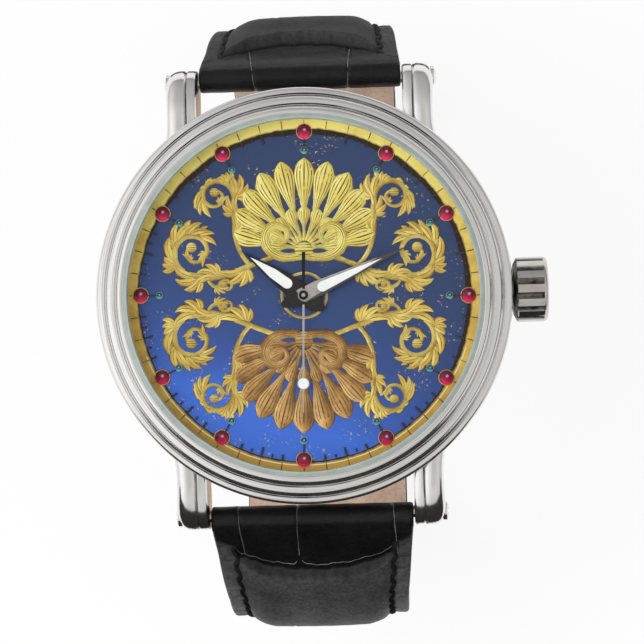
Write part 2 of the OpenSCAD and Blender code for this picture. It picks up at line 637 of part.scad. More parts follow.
module train_bridge() color("khaki") difference() {
    translate([0, 0, bridge_z]) linear_extrude(bridge_t) union() {
        circle(4.6 * works);
        for (p = screw_ps) {
            translate(p) circle(1);
            rotate(atan2(p[1], p[0])) translate([0, -1]) square([norm(p), 2]);
        }
        translate(rotor_p) circle(1.2);
    }
    at([0, 0], 0) cylinder(r = pivot_r + run_fit, h = 10, $fn = 24);
    for (p = [third_p, fifth_p, rotor_p]) at(p, 0) cylinder(r = pivot_r + run_fit, h = 10, $fn = 24);
    for (p = screw_ps) at(p, 0) cylinder(r = 0.32, h = 10, $fn = 24);
}
module bridge_screws() color("lightgray") for (p = screw_ps) at(p, bridge_z - 0.35) difference() {
    union() {
        cylinder(r = 0.7, h = 0.35, $fn = 32);
        cylinder(r = 0.28, h = 1.9, $fn = 24);
    }
    translate([-1, -0.09, -0.1]) cube([2, 0.18, 0.25]);
}

module circuit_board() color("darkgreen") translate([0, 0, plate_z - 0.35]) linear_extrude(0.3)
    intersection() {
        circle(movement_d / 2 - 0.4);
        rotate(118) scale(works) polygon([[5.9, -4.5], [14, -6], [14, 9.5], [5.9, 6.5]]);
    }
module quartz_can() color("silver") at(can_p, plate_z - 0.35 - 0.75) rotate(60) rotate([0, 90, 0])
    cylinder(r = 0.7, h = 5.4 * works, center = true, $fn = 40);
// Bobbin wound with wire on its core
module coil() color("peru") at(coil_p, plate_z - 1.15) rotate(145) rotate([0, 90, 0]) {
    cylinder(r = 1.0, h = 6 * works, center = true);
    for (s = [-1, 1]) translate([0, 0, s * (3 * works + 0.2)]) cylinder(r = 1.1, h = 0.4, center = true);
}
module stator() color("slategray") difference() {
    translate([0, 0, level(1) - 0.05]) linear_extrude(0.3) difference() {
        union() {
            translate(rotor_p) circle(1.9 * works);
            translate(rotor_p) rotate(80) translate([0, -0.9 * works]) square([2.6 * works, 1.8 * works]);
        }
        translate(rotor_p) circle(1.15 * works);
        translate(fifth_p) circle(1.2 * works);
        circle(3.35 * works);
    }
}
module battery() color("lightgray") at(battery_p, bridge_z - 0.75) {
    cylinder(d = cell_d, h = battery_t - 0.4);
    cylinder(d = cell_d - 1.2, h = battery_t);
}
module battery_clamp() color("silver") at(battery_p, bridge_z - 1) linear_extrude(0.2) union() {
    circle(1.6);
    for (a = [0, 120, 240]) rotate(a + 20) translate([0, -0.6]) square([cell_d / 2 + 0.8, 1.2]);
}

// Magnet rotor, with the pinion that drives the fifth wheel
module rotor() color("dimgray") at(rotor_p, 0) {
    translate([0, 0, bridge_z + 0.1]) cylinder(r = pivot_r, h = plate_z - bridge_z + 0.3, $fn = 24);
    translate([0, 0, level(1) - 0.1]) cylinder(r = 0.85 * works, h = 0.4);
    translate([0, 0, level(2) - 0.08]) gear(rotor_n, rotor_m, wheel_t + 0.16, mesh(rotor_a + 180, rotor_n));
    translate([0, 0, level(1)]) cylinder(r = arbor_r, h = level(4) - level(1), $fn = 24);
}
module fifth_wheel() color("gold") at(fifth_p, 0) {
    translate([0, 0, bridge_z + 0.1]) cylinder(r = pivot_r, h = plate_z - bridge_z + 0.3, $fn = 24);
    translate([0, 0, level(2)]) wheel(fifth_n, rotor_m, mesh(rotor_a, fifth_n, 1), 4);
    translate([0, 0, level(1) - 0.06]) gear(fifth_pinion_n, seconds_m, level_h, mesh(fifth_a + 180, fifth_pinion_n));
    translate([0, 0, level(1)]) cylinder(r = arbor_r, h = level(4) - level(1), $fn = 24);
}
module seconds_wheel() color("gold") {
    translate([0, 0, bridge_z + 0.1]) cylinder(r = pivot_r, h = 1, $fn = 24);
    translate([0, 0, bridge_z + bridge_t + 0.02])
        cylinder(r = seconds_arbor_r, h = seconds_hand_z + 0.3 - bridge_z - bridge_t, $fn = 32);
    translate([0, 0, level(1)]) wheel(seconds_n, seconds_m, mesh(fifth_a, seconds_n, 1), 5);
    translate([0, 0, level(3) - 0.08])
        gear(seconds_pinion_n, third_m, wheel_t + 0.16, mesh(third_a, seconds_pinion_n));
}
module third_wheel() color("gold") at(third_p, 0) {
    translate([0, 0, bridge_z + 0.1]) cylinder(r = pivot_r, h = plate_z - bridge_z + 0.3, $fn = 24);
    translate([0, 0, level(3)]) wheel(third_n, third_m, mesh(third_a + 180, third_n, 1), 5);
    translate([0, 0, level(4) - 0.06])
        gear(third_pinion_n, centre_m, wheel_t + 0.1, mesh(third_a + 180, third_pinion_n));
    translate([0, 0, level(1)]) cylinder(r = arbor_r, h = level(4) - level(1), $fn = 24);
}
module centre_wheel() color("gold") difference() {
    union() {
        translate([0, 0, level(4)]) wheel(centre_n, centre_m, mesh(third_a, centre_n, 1), 5);
        translate([0, 0, level(4)]) cylinder(r = centre_tube_r, h = minute_hand_z + 0.2 - level(4));
    }
    translate([0, 0, level(4) - 1]) cylinder(r = seconds_arbor_r + run_fit, h = 10, $fn = 32);
}
module cannon_pinion() color("darkgoldenrod") translate([0, 0, works_z + 0.04])
    gear(cannon_n, cannon_m, 0.24, mesh(minute_a, cannon_n), centre_tube_r + 0.005);
module minute_wheel() color("gold") at(minute_p, works_z + 0.06) difference() {
    union() {
        gear(minute_n, cannon_m, wheel_t, mesh(minute_a + 180, minute_n, 1));
        gear(minute_pinion_n, hour_m, 0.46, mesh(minute_a + 180, minute_pinion_n));
    }
    translate([0, 0, -1]) cylinder(r = 0.22 + run_fit, h = 3, $fn = 24);
}
module setting_wheel() color("gold") at(setting_p, works_z + 0.06)
    gear(setting_n, cannon_m, wheel_t, mesh(setting_a + 180, setting_n, 0), 0.22 + run_fit);
module hour_wheel() color("gold") difference() {
    union() {
        translate([0, 0, works_z + 0.33]) gear(hour_n, hour_m, wheel_t, mesh(minute_a, hour_n, 1));
        translate([0, 0, works_z + 0.33]) cylinder(r = hour_pipe_r, h = hand_z + 0.2 - works_z - 0.33);
    }
    translate([0, 0, works_z]) cylinder(r = centre_tube_r + run_fit, h = 10);
}

// Strap: stations down the middle of its thickness, in the (y, z) plane

function tangent(p, i) = let (a = p[max(0, i - 1)], b = p[min(len(p) - 1, i + 1)]) (b - a) / norm(b - a);
function run(p, i) = i == 0 ? 0 : run(p, i - 1) + norm(p[i] - p[i - 1]);

// Thickness along a half: thin wrap at the bar, full pad, then thinning to its end
pad_s = 9;
thin_s = 46;
function thick(s, last) = s < pad_s ? mix(2 * (end_r - roll_step), pad_t, smooth((s - 1) / (pad_s - 1)))
    : mix(pad_t, last, smooth((s - pad_s) / (thin_s - pad_s)));
function width(s) = mix(strap_w, strap_end_w, s / strap_taper);

// Short half, from the 12 o'clock bar round to the buckle bar
short_path = concat(
    curve([[end_y, bar_z], [end_y + 3.2, bar_z - 3.2], [short_reach, bar_z - 8.5],
        [short_reach, bar_z - 17]], 12),
    curve([[short_reach, bar_z - 17], [short_reach, short_mid_z + 7.5], [flat_y + 7.5, short_mid_z],
        [flat_y, short_mid_z]], 13, 1),
    [for (i = [1 : 4]) [mix(flat_y, buckle_bar_y, i / 4), short_mid_z]]);
short_n = [for (i = [0 : len(short_path) - 1]) let (t = tangent(short_path, i)) [-t[1], t[0]]];
short_s = [for (i = [0 : len(short_path) - 1]) run(short_path, i)];
function short_half(k) = thick(short_s[k], short_t) / 2;
// Long half, from the 6 o'clock bar through the buckle and back up outside the short half
tail_tip = 7;
long_mid_z = tail_mid_z + tail_rise;
long_path = concat(
    curve([[-end_y, bar_z], [-end_y - 4.4, bar_z - 3], [-long_reach, bar_z - 9],
        [-long_reach, bar_z - 18]], 12),
    curve([[-long_reach, bar_z - 18], [-long_reach, long_mid_z + 9], [-long_flat_y - 9, long_mid_z],
        [-long_flat_y, long_mid_z]], 13, 1),
    [for (y = [-12, -8, -6, -4.8, -3.6, -2.4, -1.2, 0, 3, 7, 11, 14])
        [y, mix(long_mid_z, tail_mid_z, smooth((y + 6) / 6))]],
    [for (i = [0 : tail_tip]) let (k = len(short_path) - 5 - i)
        short_path[k] + short_n[k] * (short_half(k) + play + tail_t / 2)]);

long_n = [for (i = [0 : len(long_path) - 1]) let (t = tangent(long_path, i)) [t[1], -t[0]]];
long_s = [for (i = [0 : len(long_path) - 1]) run(long_path, i)];

// Cross-section of the leather, seen along the strap: flat margins, raised pad
function leather_ring(w, t, inner, pad) = let (e = t / 2 - pad, x = w / 2, m = min(1, w / 15)) [
    [-x, -t / 2 + inner], [x, -t / 2 + inner], [x, e - 0.35], [x - 0.3 * m, e], [x - 1.9 * m, e - 0.12],
    [x - 2.9 * m, mix(e, t / 2, 0.75)], [x - 4.6 * m, t / 2], [-x + 4.6 * m, t / 2],
    [-x + 2.9 * m, mix(e, t / 2, 0.75)], [-x + 1.9 * m, e - 0.12], [-x + 0.3 * m, e], [-x, e - 0.35]];
function lining_ring(w, t, thin) = let (x = w / 2 - 0.15) [
    [-x + 0.2, -t / 2], [x - 0.2, -t / 2], [x, -t / 2 + thin * 0.5], [x, -t / 2 + thin],
    [-x, -t / 2 + thin], [-x, -t / 2 + thin * 0.5]];

// Skin over rings of equal length set along a path; side is 1 or -1 for the way round
module sweep(path, normals, rings, side) {
    n = len(rings[0]);
    last = len(rings) - 1;
    points = [for (i = [0 : last]) for (q = rings[i])
        let (p = path[i] + normals[i] * q[1]) [side * q[0], p[0], p[1]]];
    sides = [for (i = [0 : last - 1]) for (j = [0 : n - 1]) let (a = i * n + j, b = i * n + (j + 1) % n)
        each [[a, b, b + n], [a, b + n, a + n]]];
    caps = [[for (j = [n - 1 : -1 : 0]) j], [for (j = [0 : n - 1]) last * n + j]];
    polyhedron(points, concat(sides, caps));
}
lining_from = 3;
function pad_of(s, from, to) = 0.85 * smooth((s - 2) / 6) * (1 - smooth((s - from) / (to - from)));
function skive(i) = i < lining_from ? 0 : i == lining_from ? 0.1 : lining_t;

// Lays a cylinder across the strap
module end_roll(y, z) translate([0, y, z]) rotate([0, 90, 0]) children();

short_last = len(short_path) - 1;
module short_strap() color([0.09, 0.09, 0.1]) difference() {
    union() {
        sweep(short_path, short_n, [for (i = [0 : short_last]) let (s = short_s[i])
            leather_ring(width(s), thick(s, short_t), i > short_last - 2 ? 0 : skive(i), pad_of(s, 24, 40))], 1);
        end_roll(end_y, bar_z) cylinder(r = end_r, h = strap_w, center = true);
        end_roll(buckle_bar_y, buckle_bar_z) cylinder(r = buckle_eye_r, h = strap_end_w, center = true);
    }
    end_roll(bar_y, bar_z) cylinder(r = bar_d / 2 + 0.05, h = 2 * strap_w, center = true);
    end_roll(buckle_bar_y, buckle_bar_z) cylinder(r = buckle_bar_d / 2 + 0.05, h = 2 * strap_w, center = true);
    // slot for the tongue
    translate([-tongue_w / 2 - 0.5, buckle_bar_y - 3, buckle_bar_z - pad_t])
        cube([tongue_w + 1, keeper_y - buckle_bar_y + 3, 2 * pad_t]);
}
module short_lining() color([0.72, 0.5, 0.34]) {
    from = lining_from;
    to = short_last - 2;
    sweep([for (i = [from : to]) short_path[i]], [for (i = [from : to]) short_n[i]],
        [for (i = [from : to]) let (s = short_s[i]) lining_ring(width(s), thick(s, short_t), skive(i))], 1);
}

long_last = len(long_path) - 1;
// The tail narrows to a blunt point over its last stations
function tail_w(i) = let (s = long_s[i], left = long_s[long_last] - s)
    width(s) * (left > 6 ? 1 : sqrt(max(0.04, 1 - pow((6 - left) / 6, 2) * 0.93)));
module long_holes() for (k = [-2 : 1]) translate([0, tongue_hole_y + k * hole_pitch, tail_mid_z])
    cylinder(r = hole_r, h = 12, center = true, $fn = 32);
// The hole in use, drawn long by the sloping tongue
module tongue_hole() translate([-tongue_w / 2 - 0.2, tongue_hole_y - 1.6, tail_mid_z - 4])
    cube([tongue_w + 0.4, 3.8, 8]);
module long_strap() color([0.09, 0.09, 0.1]) difference() {
    union() {
        sweep(long_path, long_n, [for (i = [0 : long_last]) let (s = long_s[i])
            leather_ring(tail_w(i), thick(s, tail_t), skive(i), pad_of(s, 24, 40))], -1);
        end_roll(-end_y, bar_z) cylinder(r = end_r, h = strap_w, center = true);
    }
    end_roll(-bar_y, bar_z) cylinder(r = bar_d / 2 + 0.05, h = 2 * strap_w, center = true);
    tongue_hole();
    long_holes();
}
module long_lining() color([0.72, 0.5, 0.34]) difference() {
    sweep([for (i = [lining_from : long_last]) long_path[i]], [for (i = [lining_from : long_last]) long_n[i]],
        [for (i = [lining_from : long_last]) let (s = long_s[i])
            lining_ring(tail_w(i), thick(s, tail_t), skive(i))], -1);
    tongue_hole();
    long_holes();
}

// A leather band round both halves
module keeper(y) {
    x = strap_end_w / 2 + 0.75;
    bottom = floor_z;
    top = short_in_z + play + keeper_t;
    r = keeper_t + 0.3;
    translate([0, y + keeper_w, 0]) rotate([90, 0, 0]) linear_extrude(keeper_w) difference() {
        rounded(x + keeper_t, bottom, top, r);
        rounded(x, bottom + keeper_t, top - keeper_t, 0.3);
    }
}
module rounded(x, z0, z1, r) polygon(concat(arc([x - r, z0 + r], r, -90, 0, 5), arc([x - r, z1 - r], r, 0, 90, 5),
    arc([-x + r, z1 - r], r, 90, 180, 5), arc([-x + r, z0 + r], r, 180, 270, 5)));
module fixed_keeper() color([0.1, 0.1, 0.11]) keeper(keeper_y);
module free_keeper() color([0.1, 0.1, 0.11]) keeper(free_keeper_y);

// Buckle

buckle_front_y = buckle_bar_y - buckle_l;
buckle_half = strap_end_w / 2 + 0.6;
// Side view of the frame in (y, z): eye at the bar, falling to a flat front bar
module buckle_frame() color("silver") difference() {
    intersection() {
        translate([0, 0, floor_z - 1]) linear_extrude(12) difference() {
            rounded(buckle_half + buckle_arm_w, buckle_front_y, buckle_bar_y + 3, 2.6);
            translate([-buckle_half, buckle_front_y + 2.4]) square([2 * buckle_half, buckle_l + 10]);
        }
        translate([-buckle_half - 4, 0, 0]) rotate([90, 0, 90]) linear_extrude(2 * buckle_half + 8)
            polygon(concat(
                [[buckle_bar_y - 0.4, buckle_bar_z - 1.25]],
                arc([buckle_bar_y, buckle_bar_z], 1.3, -110, 110, 10),
                curve([[buckle_bar_y - 1, buckle_bar_z + 1.1], [buckle_bar_y - 4, buckle_bar_z + 0.4],
                    [buckle_front_y + 4, floor_z + buckle_t + 0.1], [buckle_front_y + 1, floor_z + buckle_t]], 7),
                arc([buckle_front_y + 0.8, floor_z + buckle_t - 0.8], 0.8, 90, 180, 4),
                arc([buckle_front_y + 0.8, floor_z + 0.8], 0.8, 180, 270, 4),
                curve([[buckle_front_y + 2.6, floor_z], [buckle_front_y + 5, floor_z + 0.1],
                    [buckle_bar_y - 3.4, buckle_bar_z - 1.9], [buckle_bar_y - 1.6, buckle_bar_z - 1.4]], 6)));
    }
    end_roll(buckle_bar_y, buckle_bar_z) cylinder(r = buckle_bar_d / 2 + fit, h = 4 * strap_w, center = true);
    // notch that the tongue's tip rests in
    translate([-tongue_w / 2 - 0.2, buckle_front_y - 1, floor_z - 1]) cube([tongue_w + 0.4, 4, 2.05]);
}
module buckle_bar() color("gray") end_roll(buckle_bar_y, buckle_bar_z)
    cylinder(d = buckle_bar_d, h = 2 * (buckle_half + buckle_arm_w) - 0.3, center = true);
// Tongue: hub on the bar, neck down through the strap's hole, blade out to the notch
module buckle_tongue() color("silver") translate([-tongue_w / 2, 0, 0]) rotate([90, 0, 90]) difference() {
    union() {
        translate([buckle_bar_y, buckle_bar_z]) cylinder(r = 1.12, h = tongue_w);
        linear_extrude(tongue_w) polygon(concat(
            [[buckle_bar_y - 0.75, buckle_bar_z - 0.8], [buckle_bar_y - 1.9, overlap_out_z - 0.1]],
            curve([[buckle_bar_y - 2.6, overlap_out_z - 0.75], [buckle_bar_y - 4.4, overlap_out_z - 1.05],
                [buckle_bar_y - 6, floor_z + 0.3], [buckle_front_y + 3, floor_z + 0.08],
                [buckle_front_y + 0.2, floor_z + 0.08]], 6),
            [[buckle_front_y - 0.2, floor_z + 0.6], [buckle_front_y + 0.1, floor_z + 0.98],
                [buckle_front_y + 3.4, floor_z + 1.02]],
            curve([[buckle_bar_y - 5.2, floor_z + 1.15], [buckle_bar_y - 4, overlap_out_z + 0.1],
                [buckle_bar_y - 3.2, overlap_out_z + 0.5]], 4),
            [[buckle_bar_y - 0.9, buckle_bar_z + 0.3]]));
    }
    translate([buckle_bar_y, buckle_bar_z, -1]) cylinder(r = buckle_bar_d / 2 + run_fit, h = tongue_w + 2);
}

mid_case();
bezel();
crystal();
crystal_gasket();
case_back();
back_gasket();
crown_tube();
crown();
crown_gasket();
strap_bars();
bar_screws();
dial();
hour_markers();
hour_hand();
hour_lume();
minute_hand();
minute_lume();
seconds_hand();
seconds_dot();
movement_holder();
main_plate();
train_bridge();
bridge_screws();
circuit_board();
quartz_can();
coil();
stator();
battery();
battery_clamp();
rotor();
fifth_wheel();
seconds_wheel();
third_wheel();
centre_wheel();
cannon_pinion();
minute_wheel();
setting_wheel();
hour_wheel();
stem();
clutch_pinion();
setting_lever();
short_strap();
short_lining();
long_strap();
long_lining();
fixed_keeper();
free_keeper();
buckle_frame();
buckle_bar();
buckle_tongue();
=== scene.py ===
import bisect
import random
from functools import partialmethod
from math import atan2, cos, degrees, exp, hypot, log, pi, radians, sin, sqrt

import bmesh
import bpy
from mathutils import Matrix, Vector


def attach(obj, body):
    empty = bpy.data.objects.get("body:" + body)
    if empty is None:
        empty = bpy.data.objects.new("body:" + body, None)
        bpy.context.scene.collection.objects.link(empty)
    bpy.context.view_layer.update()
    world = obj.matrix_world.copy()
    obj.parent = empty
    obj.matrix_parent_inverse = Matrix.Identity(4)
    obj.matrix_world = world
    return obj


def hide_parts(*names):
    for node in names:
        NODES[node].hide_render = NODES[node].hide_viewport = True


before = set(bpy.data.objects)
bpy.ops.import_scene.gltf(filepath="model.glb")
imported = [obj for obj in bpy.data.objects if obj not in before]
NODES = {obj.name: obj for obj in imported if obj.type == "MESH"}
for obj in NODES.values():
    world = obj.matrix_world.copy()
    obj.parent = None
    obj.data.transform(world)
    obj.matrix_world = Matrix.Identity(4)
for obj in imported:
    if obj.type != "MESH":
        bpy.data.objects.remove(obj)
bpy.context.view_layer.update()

MM = 0.001


# Numbers

def mix(a, b, t):
    return a + (b - a) * max(0.0, min(1.0, t))


def smooth(t):
    t = max(0.0, min(1.0, t))
    return t * t * (3 - 2 * t)


def bump_at(d, width):
    return exp(-(d / width) ** 2)


def bezier(points, t):
    points = [Vector(p) for p in points]
    while len(points) > 1:
        points = [a.lerp(b, t) for a, b in zip(points, points[1:])]
    return points[0]


def curve(points, steps):
    return [bezier(points, i / steps) for i in range(steps + 1)]


def turns(count):
    """The angles of count even steps round a full turn."""
    return [2 * pi * i / count for i in range(count)]


def polar(r, a, cx=0.0, cy=0.0):
    """The point at distance r and angle a from a centre."""
    return (cx + r * cos(a), cy + r * sin(a))


def arc(cx, cy, r, a0, a1, steps):
    return [polar(r, radians(a0 + (a1 - a0) * i / steps), cx, cy) for i in range(steps + 1)]


# Materials

class Value:
    """A shader socket that takes part in sums like a number."""

    def __init__(self, nodes, socket):
        self.nodes, self.socket = nodes, socket

    def maths(self, operation, other=0.0):
        return self.nodes.node("Math", {0: self, 1: other}, operation=operation)

    __add__ = partialmethod(maths, "ADD")
    __sub__ = partialmethod(maths, "SUBTRACT")
    __mul__ = partialmethod(maths, "MULTIPLY")
    __gt__ = partialmethod(maths, "GREATER_THAN")
    __lt__ = partialmethod(maths, "LESS_THAN")
    most = partialmethod(maths, "MAXIMUM")
    size = partialmethod(maths, "ABSOLUTE")

    def __rsub__(self, other):
        return self.nodes.node("Math", {0: other, 1: self}, operation="SUBTRACT")

    def between(self, low, high):
        """1 between low and high, else 0."""
        return (self > low) * (self < high)

    def spread(self, start, end, low=0.0, high=1.0, kind="LINEAR"):
        """Goes from low to high while the value goes from start to end."""
        return self.nodes.node("MapRange", {"Value": self, "From Min": start, "From Max": end, "To Min": low,
                                            "To Max": high}, interpolation_type=kind)

    def part(self, index):
        """One coordinate of a vector."""
        return self.nodes.node("SeparateXYZ", {0: self}, index)

    def vector(self, operation, other=(0, 0, 0), out=0):
        return self.nodes.node("VectorMath", {0: self, 1: other}, out, operation=operation)

    def ramp(self, *stops):
        """Colours, or greys given as one number, at places from 0 to 1."""
        made = self.nodes.tree.nodes.new("ShaderNodeValToRGB")
        self.nodes.put(made.inputs["Fac"], self)
        points = made.color_ramp.elements
        while len(points) < len(stops):
            points.new(0.5)
        for point, (position, colour) in zip(points, stops):
            point.position = position
            point.color = (*colour, 1) if isinstance(colour, tuple) else (colour, colour, colour, 1)
        return Value(self.nodes, made.outputs["Color"])

    def tones(self, low, high):
        """The ramp that a noise's middle values call for."""
        return self.ramp((0.3, low), (0.7, high))


class Nodes:
    """A shader's node tree; its methods add nodes and give their output as a Value."""

    def __init__(self, tree):
        self.tree = tree

    def put(self, socket, value):
        """Links a Value to a socket, or sets any other value on it."""
        if isinstance(value, Value):
            self.tree.links.new(value.socket, socket)
        elif isinstance(value, tuple) and len(socket.default_value) == 4:
            socket.default_value = (*value, 1)
        else:
            socket.default_value = value

    def node(self, kind, inputs, out=0, **settings):
        made = self.tree.nodes.new("ShaderNode" + kind)
        for key, value in settings.items():
            setattr(made, key, value)
        for key, value in inputs.items():
            self.put(made.inputs[key], value)
        return Value(self, made.outputs[out])

    def blend(self, share, a, b, mode="MIX"):
        return self.node("Mix", {0: share, 6: a, 7: b}, 2, data_type="RGBA", blend_type=mode)


class Look(Nodes):
    """A material being made; where holds the object's coordinates in millimetres."""

    def __init__(self, name, **sockets):
        self.material = bpy.data.materials.new(name + "_look")
        self.material.use_nodes = True
        super().__init__(self.material.node_tree)
        self.shader = self.tree.nodes["Principled BSDF"]
        for key, value in sockets.items():
            self.put(self.shader.inputs[key.replace("_", " ")], value)
        metres = self.node("TexCoord", {}, "Object")
        self.where = self.node("VectorMath", {0: metres, "Scale": 1 / MM}, operation="SCALE")

    def uv(self):
        return self.node("TexCoord", {}, "UV")

    def noise(self, scale, detail=3.0, rough=0.5, stretch=None, at=None):
        at = at or self.where
        if stretch:
            at = self.node("Mapping", {"Vector": at, "Scale": stretch})
        return self.node("TexNoise", {"Vector": at, "Scale": scale, "Detail": detail, "Roughness": rough}, "Fac")

    def cells(self, scale):
        """Rounded cells parted by creases, as in a hide's grain."""
        gap = self.node("TexVoronoi", {"Vector": self.where, "Scale": scale}, feature="DISTANCE_TO_EDGE")
        return gap.ramp((0.0, 0.0), (0.16, 1.0))

    def ring(self):
        """Distance from the watch's axis, and the direction away from it."""
        flat = self.where.vector("MULTIPLY", (1, 1, 0))
        return flat.vector("LENGTH", out="Value"), flat.vector("NORMALIZE")

    def finish(self, colour, rough, height=None, depth_mm=0.0):
        """Sets colour, roughness and the depth of the relief, and gives the material."""
        self.put(self.shader.inputs["Base Color"], colour)
        self.put(self.shader.inputs["Roughness"], rough)
        if height is not None:
            bump = self.node("Bump", {"Height": height, "Strength": 1.0, "Distance": depth_mm * MM})
            self.put(self.shader.inputs["Normal"], bump)
        return self.material


def metal(name, colour, rough, spread, scratch, worn, stretch=(1, 1, 1)):
    """Worked metal: patchy polish, hairline scratches, a slight change of tone."""
    look = Look(name, Metallic=1.0)
    dark = tuple(c * (1 - worn) for c in colour)
    return look.finish(look.noise(0.35, 4).tones(dark, colour),
                       look.noise(1.4, 5, 0.6).ramp((0.3, rough), (0.75, rough + spread)),
                       look.noise(14, 2, 0.5, stretch), scratch)


def leather(name, dark, light, rough, grain_scale, coat=0.0, grain_mm=0.02):
    """Finished leather: mottled tone, pebbled creases at the scale of the hide's grain."""
    look = Look(name, Coat_Weight=coat, Coat_Roughness=0.25)
    fine = look.noise(2.5)
    colour = look.blend(look.noise(0.22, 5, 0.6).ramp((0.3, 0.0), (0.72, 1.0)), dark, light)
    pores = look.blend(1.0, colour, fine.ramp((0.35, 0.45), (0.65, 1.0)), "MULTIPLY")
    return look.finish(look.blend(0.35, colour, pores), fine.tones(rough, rough + 0.14),
                       look.cells(grain_scale) * 0.6 + look.noise(5, 4) * 0.8, grain_mm)


def plastic(name, colour, rough):
    look = Look(name)
    tone = look.noise(0.8)
    return look.finish(tone.tones(tuple(c * 0.9 for c in colour), colour),
                       tone.tones(rough, rough + 0.08), look.noise(12, 2), 0.004)


def turned_steel():
    """Steel polished on a lathe: fine streaks run round the axis; a painted dark reflection lines two step lips
    beside 3 and 9 o'clock.
    """
    look = Look("bezel_steel", Metallic=1.0)
    radius, away = look.ring()
    run = look.node("CombineXYZ", {0: away.part(0) * 2.2, 1: away.part(1) * 2.2, 2: radius * 5.0})
    streak = look.noise(1.0, 4, 0.6, at=run)
    steel = streak.ramp((0.3, (0.64, 0.625, 0.605)), (0.5, (0.80, 0.79, 0.775)), (0.75, (0.88, 0.87, 0.86)))
    # Painted reflection: two thin dark rings on the step lips, fading in towards 3 and 9 o'clock.
    painted_lip_reflection = radius.between(20.70, 20.79).most(radius.between(19.52, 19.61))
    painted_lip_reflection = painted_lip_reflection * away.part(0).size().spread(0.6, 0.85, 0.0, 0.75)
    return look.finish(look.blend(painted_lip_reflection, steel, (0.12, 0.11, 0.105)), streak.tones(0.27, 0.19),
                       streak, 0.0015)


def groove_line():
    """The fine turned line at the foot of a bezel step, with a painted dark reflection towards 12 and 6 o'clock,
    broken up by noise.
    """
    look = Look("bezel_line", Metallic=0.9)
    fill = look.noise(0.12, 3, 0.6)
    # Painted reflection: the line is coloured dark towards 12 and 6 o'clock and left steel-coloured beside 3 and
    # 9.
    painted_dark_share = look.ring()[1].part(1).size().spread(0.55, 0.78)
    dark = fill.ramp((0.48, (0.035, 0.028, 0.024)), (0.66, (0.42, 0.40, 0.38)))
    return look.finish(look.blend(painted_dark_share, (0.80, 0.79, 0.775), dark), fill.ramp((0.4, 0.45), (0.6, 0.25)),
                       look.noise(6), 0.004)


def crown_steel():
    """Steel of the crown, with painted shade in the flutes between its ribs and on its face towards the case."""
    look = Look("crown_steel", Metallic=1.0)
    across = look.where.vector("SUBTRACT", (0, 0, CROWN_Z)).vector("MULTIPLY", (0, 1, 1))
    radius = across.vector("LENGTH", out="Value")
    # Painted shade: the share of dark colour, growing below the ribs' crests and full on the end towards the
    # case.
    inside = radius.spread(3.43, 3.26) * (look.where.part(0) < 25.3)
    steel = look.noise(0.7, 4).tones((0.54, 0.515, 0.485), (0.66, 0.635, 0.605))
    painted_flute_shade = look.noise(1.1, 2).ramp((0.35, (0.03, 0.026, 0.022)), (0.65, (0.2, 0.185, 0.17)))
    return look.finish(look.blend(inside, steel, painted_flute_shade), inside.ramp((0.1, 0.12), (0.8, 0.42)),
                       look.noise(12, 2), 0.0006)


def strap_leather():
    """Black leather pressed with scales. U holds the millimetres beyond the first crease: the roll and the
    first row are smooth, glossy and black; the pad beyond is rougher and finely wrinkled, with a painted
    charcoal sheen."""
    look = Look("black_leather", Coat_Weight=0.02, Coat_Roughness=0.2, Specular_IOR_Level=0.26)
    distance = look.uv().part(0)
    # The painted sheen starts just past the crease wall, which is left black.
    beyond = distance.spread(-0.3, 0.55)
    tone, fine = look.noise(0.22, 5, 0.6), look.noise(2.5)
    gloss = tone.ramp((0.3, (0.004, 0.0036, 0.004)), (0.72, (0.009, 0.0083, 0.009)))
    # Painted sheen: the pad is coloured charcoal grey, brightest some 15 mm out along the strap and fading
    # further on.
    painted_pad_sheen = tone.ramp((0.3, (0.112, 0.1105, 0.1135)), (0.72, (0.2, 0.197, 0.203)))
    painted_sheen_fade = distance.spread(0.0, 60.0).ramp((0.05, 0.33), (0.26, 0.95), (0.34, 0.8), (0.6, 0.4))
    painted_pad_sheen = look.blend(1.0, painted_pad_sheen, painted_sheen_fade, "MULTIPLY")
    pores = fine.ramp((0.35, 0.62), (0.65, 1.0))
    wrinkles = look.noise(1.0, 4, 0.6, (2.6, 0.5, 1), look.uv())
    return look.finish(look.blend(1.0, look.blend(beyond, gloss, painted_pad_sheen), pores, "MULTIPLY"),
                       beyond * 0.2 + fine * 0.14 + 0.24, look.cells(3.2) * 0.4 + wrinkles * beyond * 3.2, 0.03)


def seconds_metal():
    """The seconds hand: its hub and tail are blackened, its long arm is left bright."""
    look = Look("seconds_hand", Metallic=1.0)
    bright = (0.62, 0.61, 0.60)
    dark = (look.where.part(1) + look.noise(2.0, 2) * 0.1).spread(-1.0, -0.85)
    collar = look.ring()[0].between(0.5, 0.66) * 0.8
    colour = look.blend(collar, look.blend(dark, bright, (0.035, 0.034, 0.034)), bright)
    return look.finish(colour, look.noise(1.4, 4).tones(0.14, 0.22), look.noise(14, 2), 0.0004)


def minute_metal():
    """The minute hand: bright silver, with painted shade on its lower bevel and a blackened tail."""
    look = Look("minute_hand", Metallic=1.0)
    c, s = cos(MINUTE_TURN), sin(MINUTE_TURN)
    along = look.where.vector("DOT_PRODUCT", (c, s, 0), "Value")
    across = look.where.vector("DOT_PRODUCT", (-s, c, 0), "Value")
    # Painted shade: the blade's lower side, below its ridge line, is coloured dark.
    bevel = (across < (along - 13.6) * 0.05) * 0.85
    cloud = look.noise(1.4, 4)
    tone = cloud.tones((0.56, 0.54, 0.515), (0.64, 0.62, 0.6))
    colour = look.blend(along.spread(-0.35, -0.5).most(bevel), tone, (0.055, 0.052, 0.05))
    return look.finish(colour, cloud.tones(0.12, 0.18), look.noise(14, 2), 0.0004)


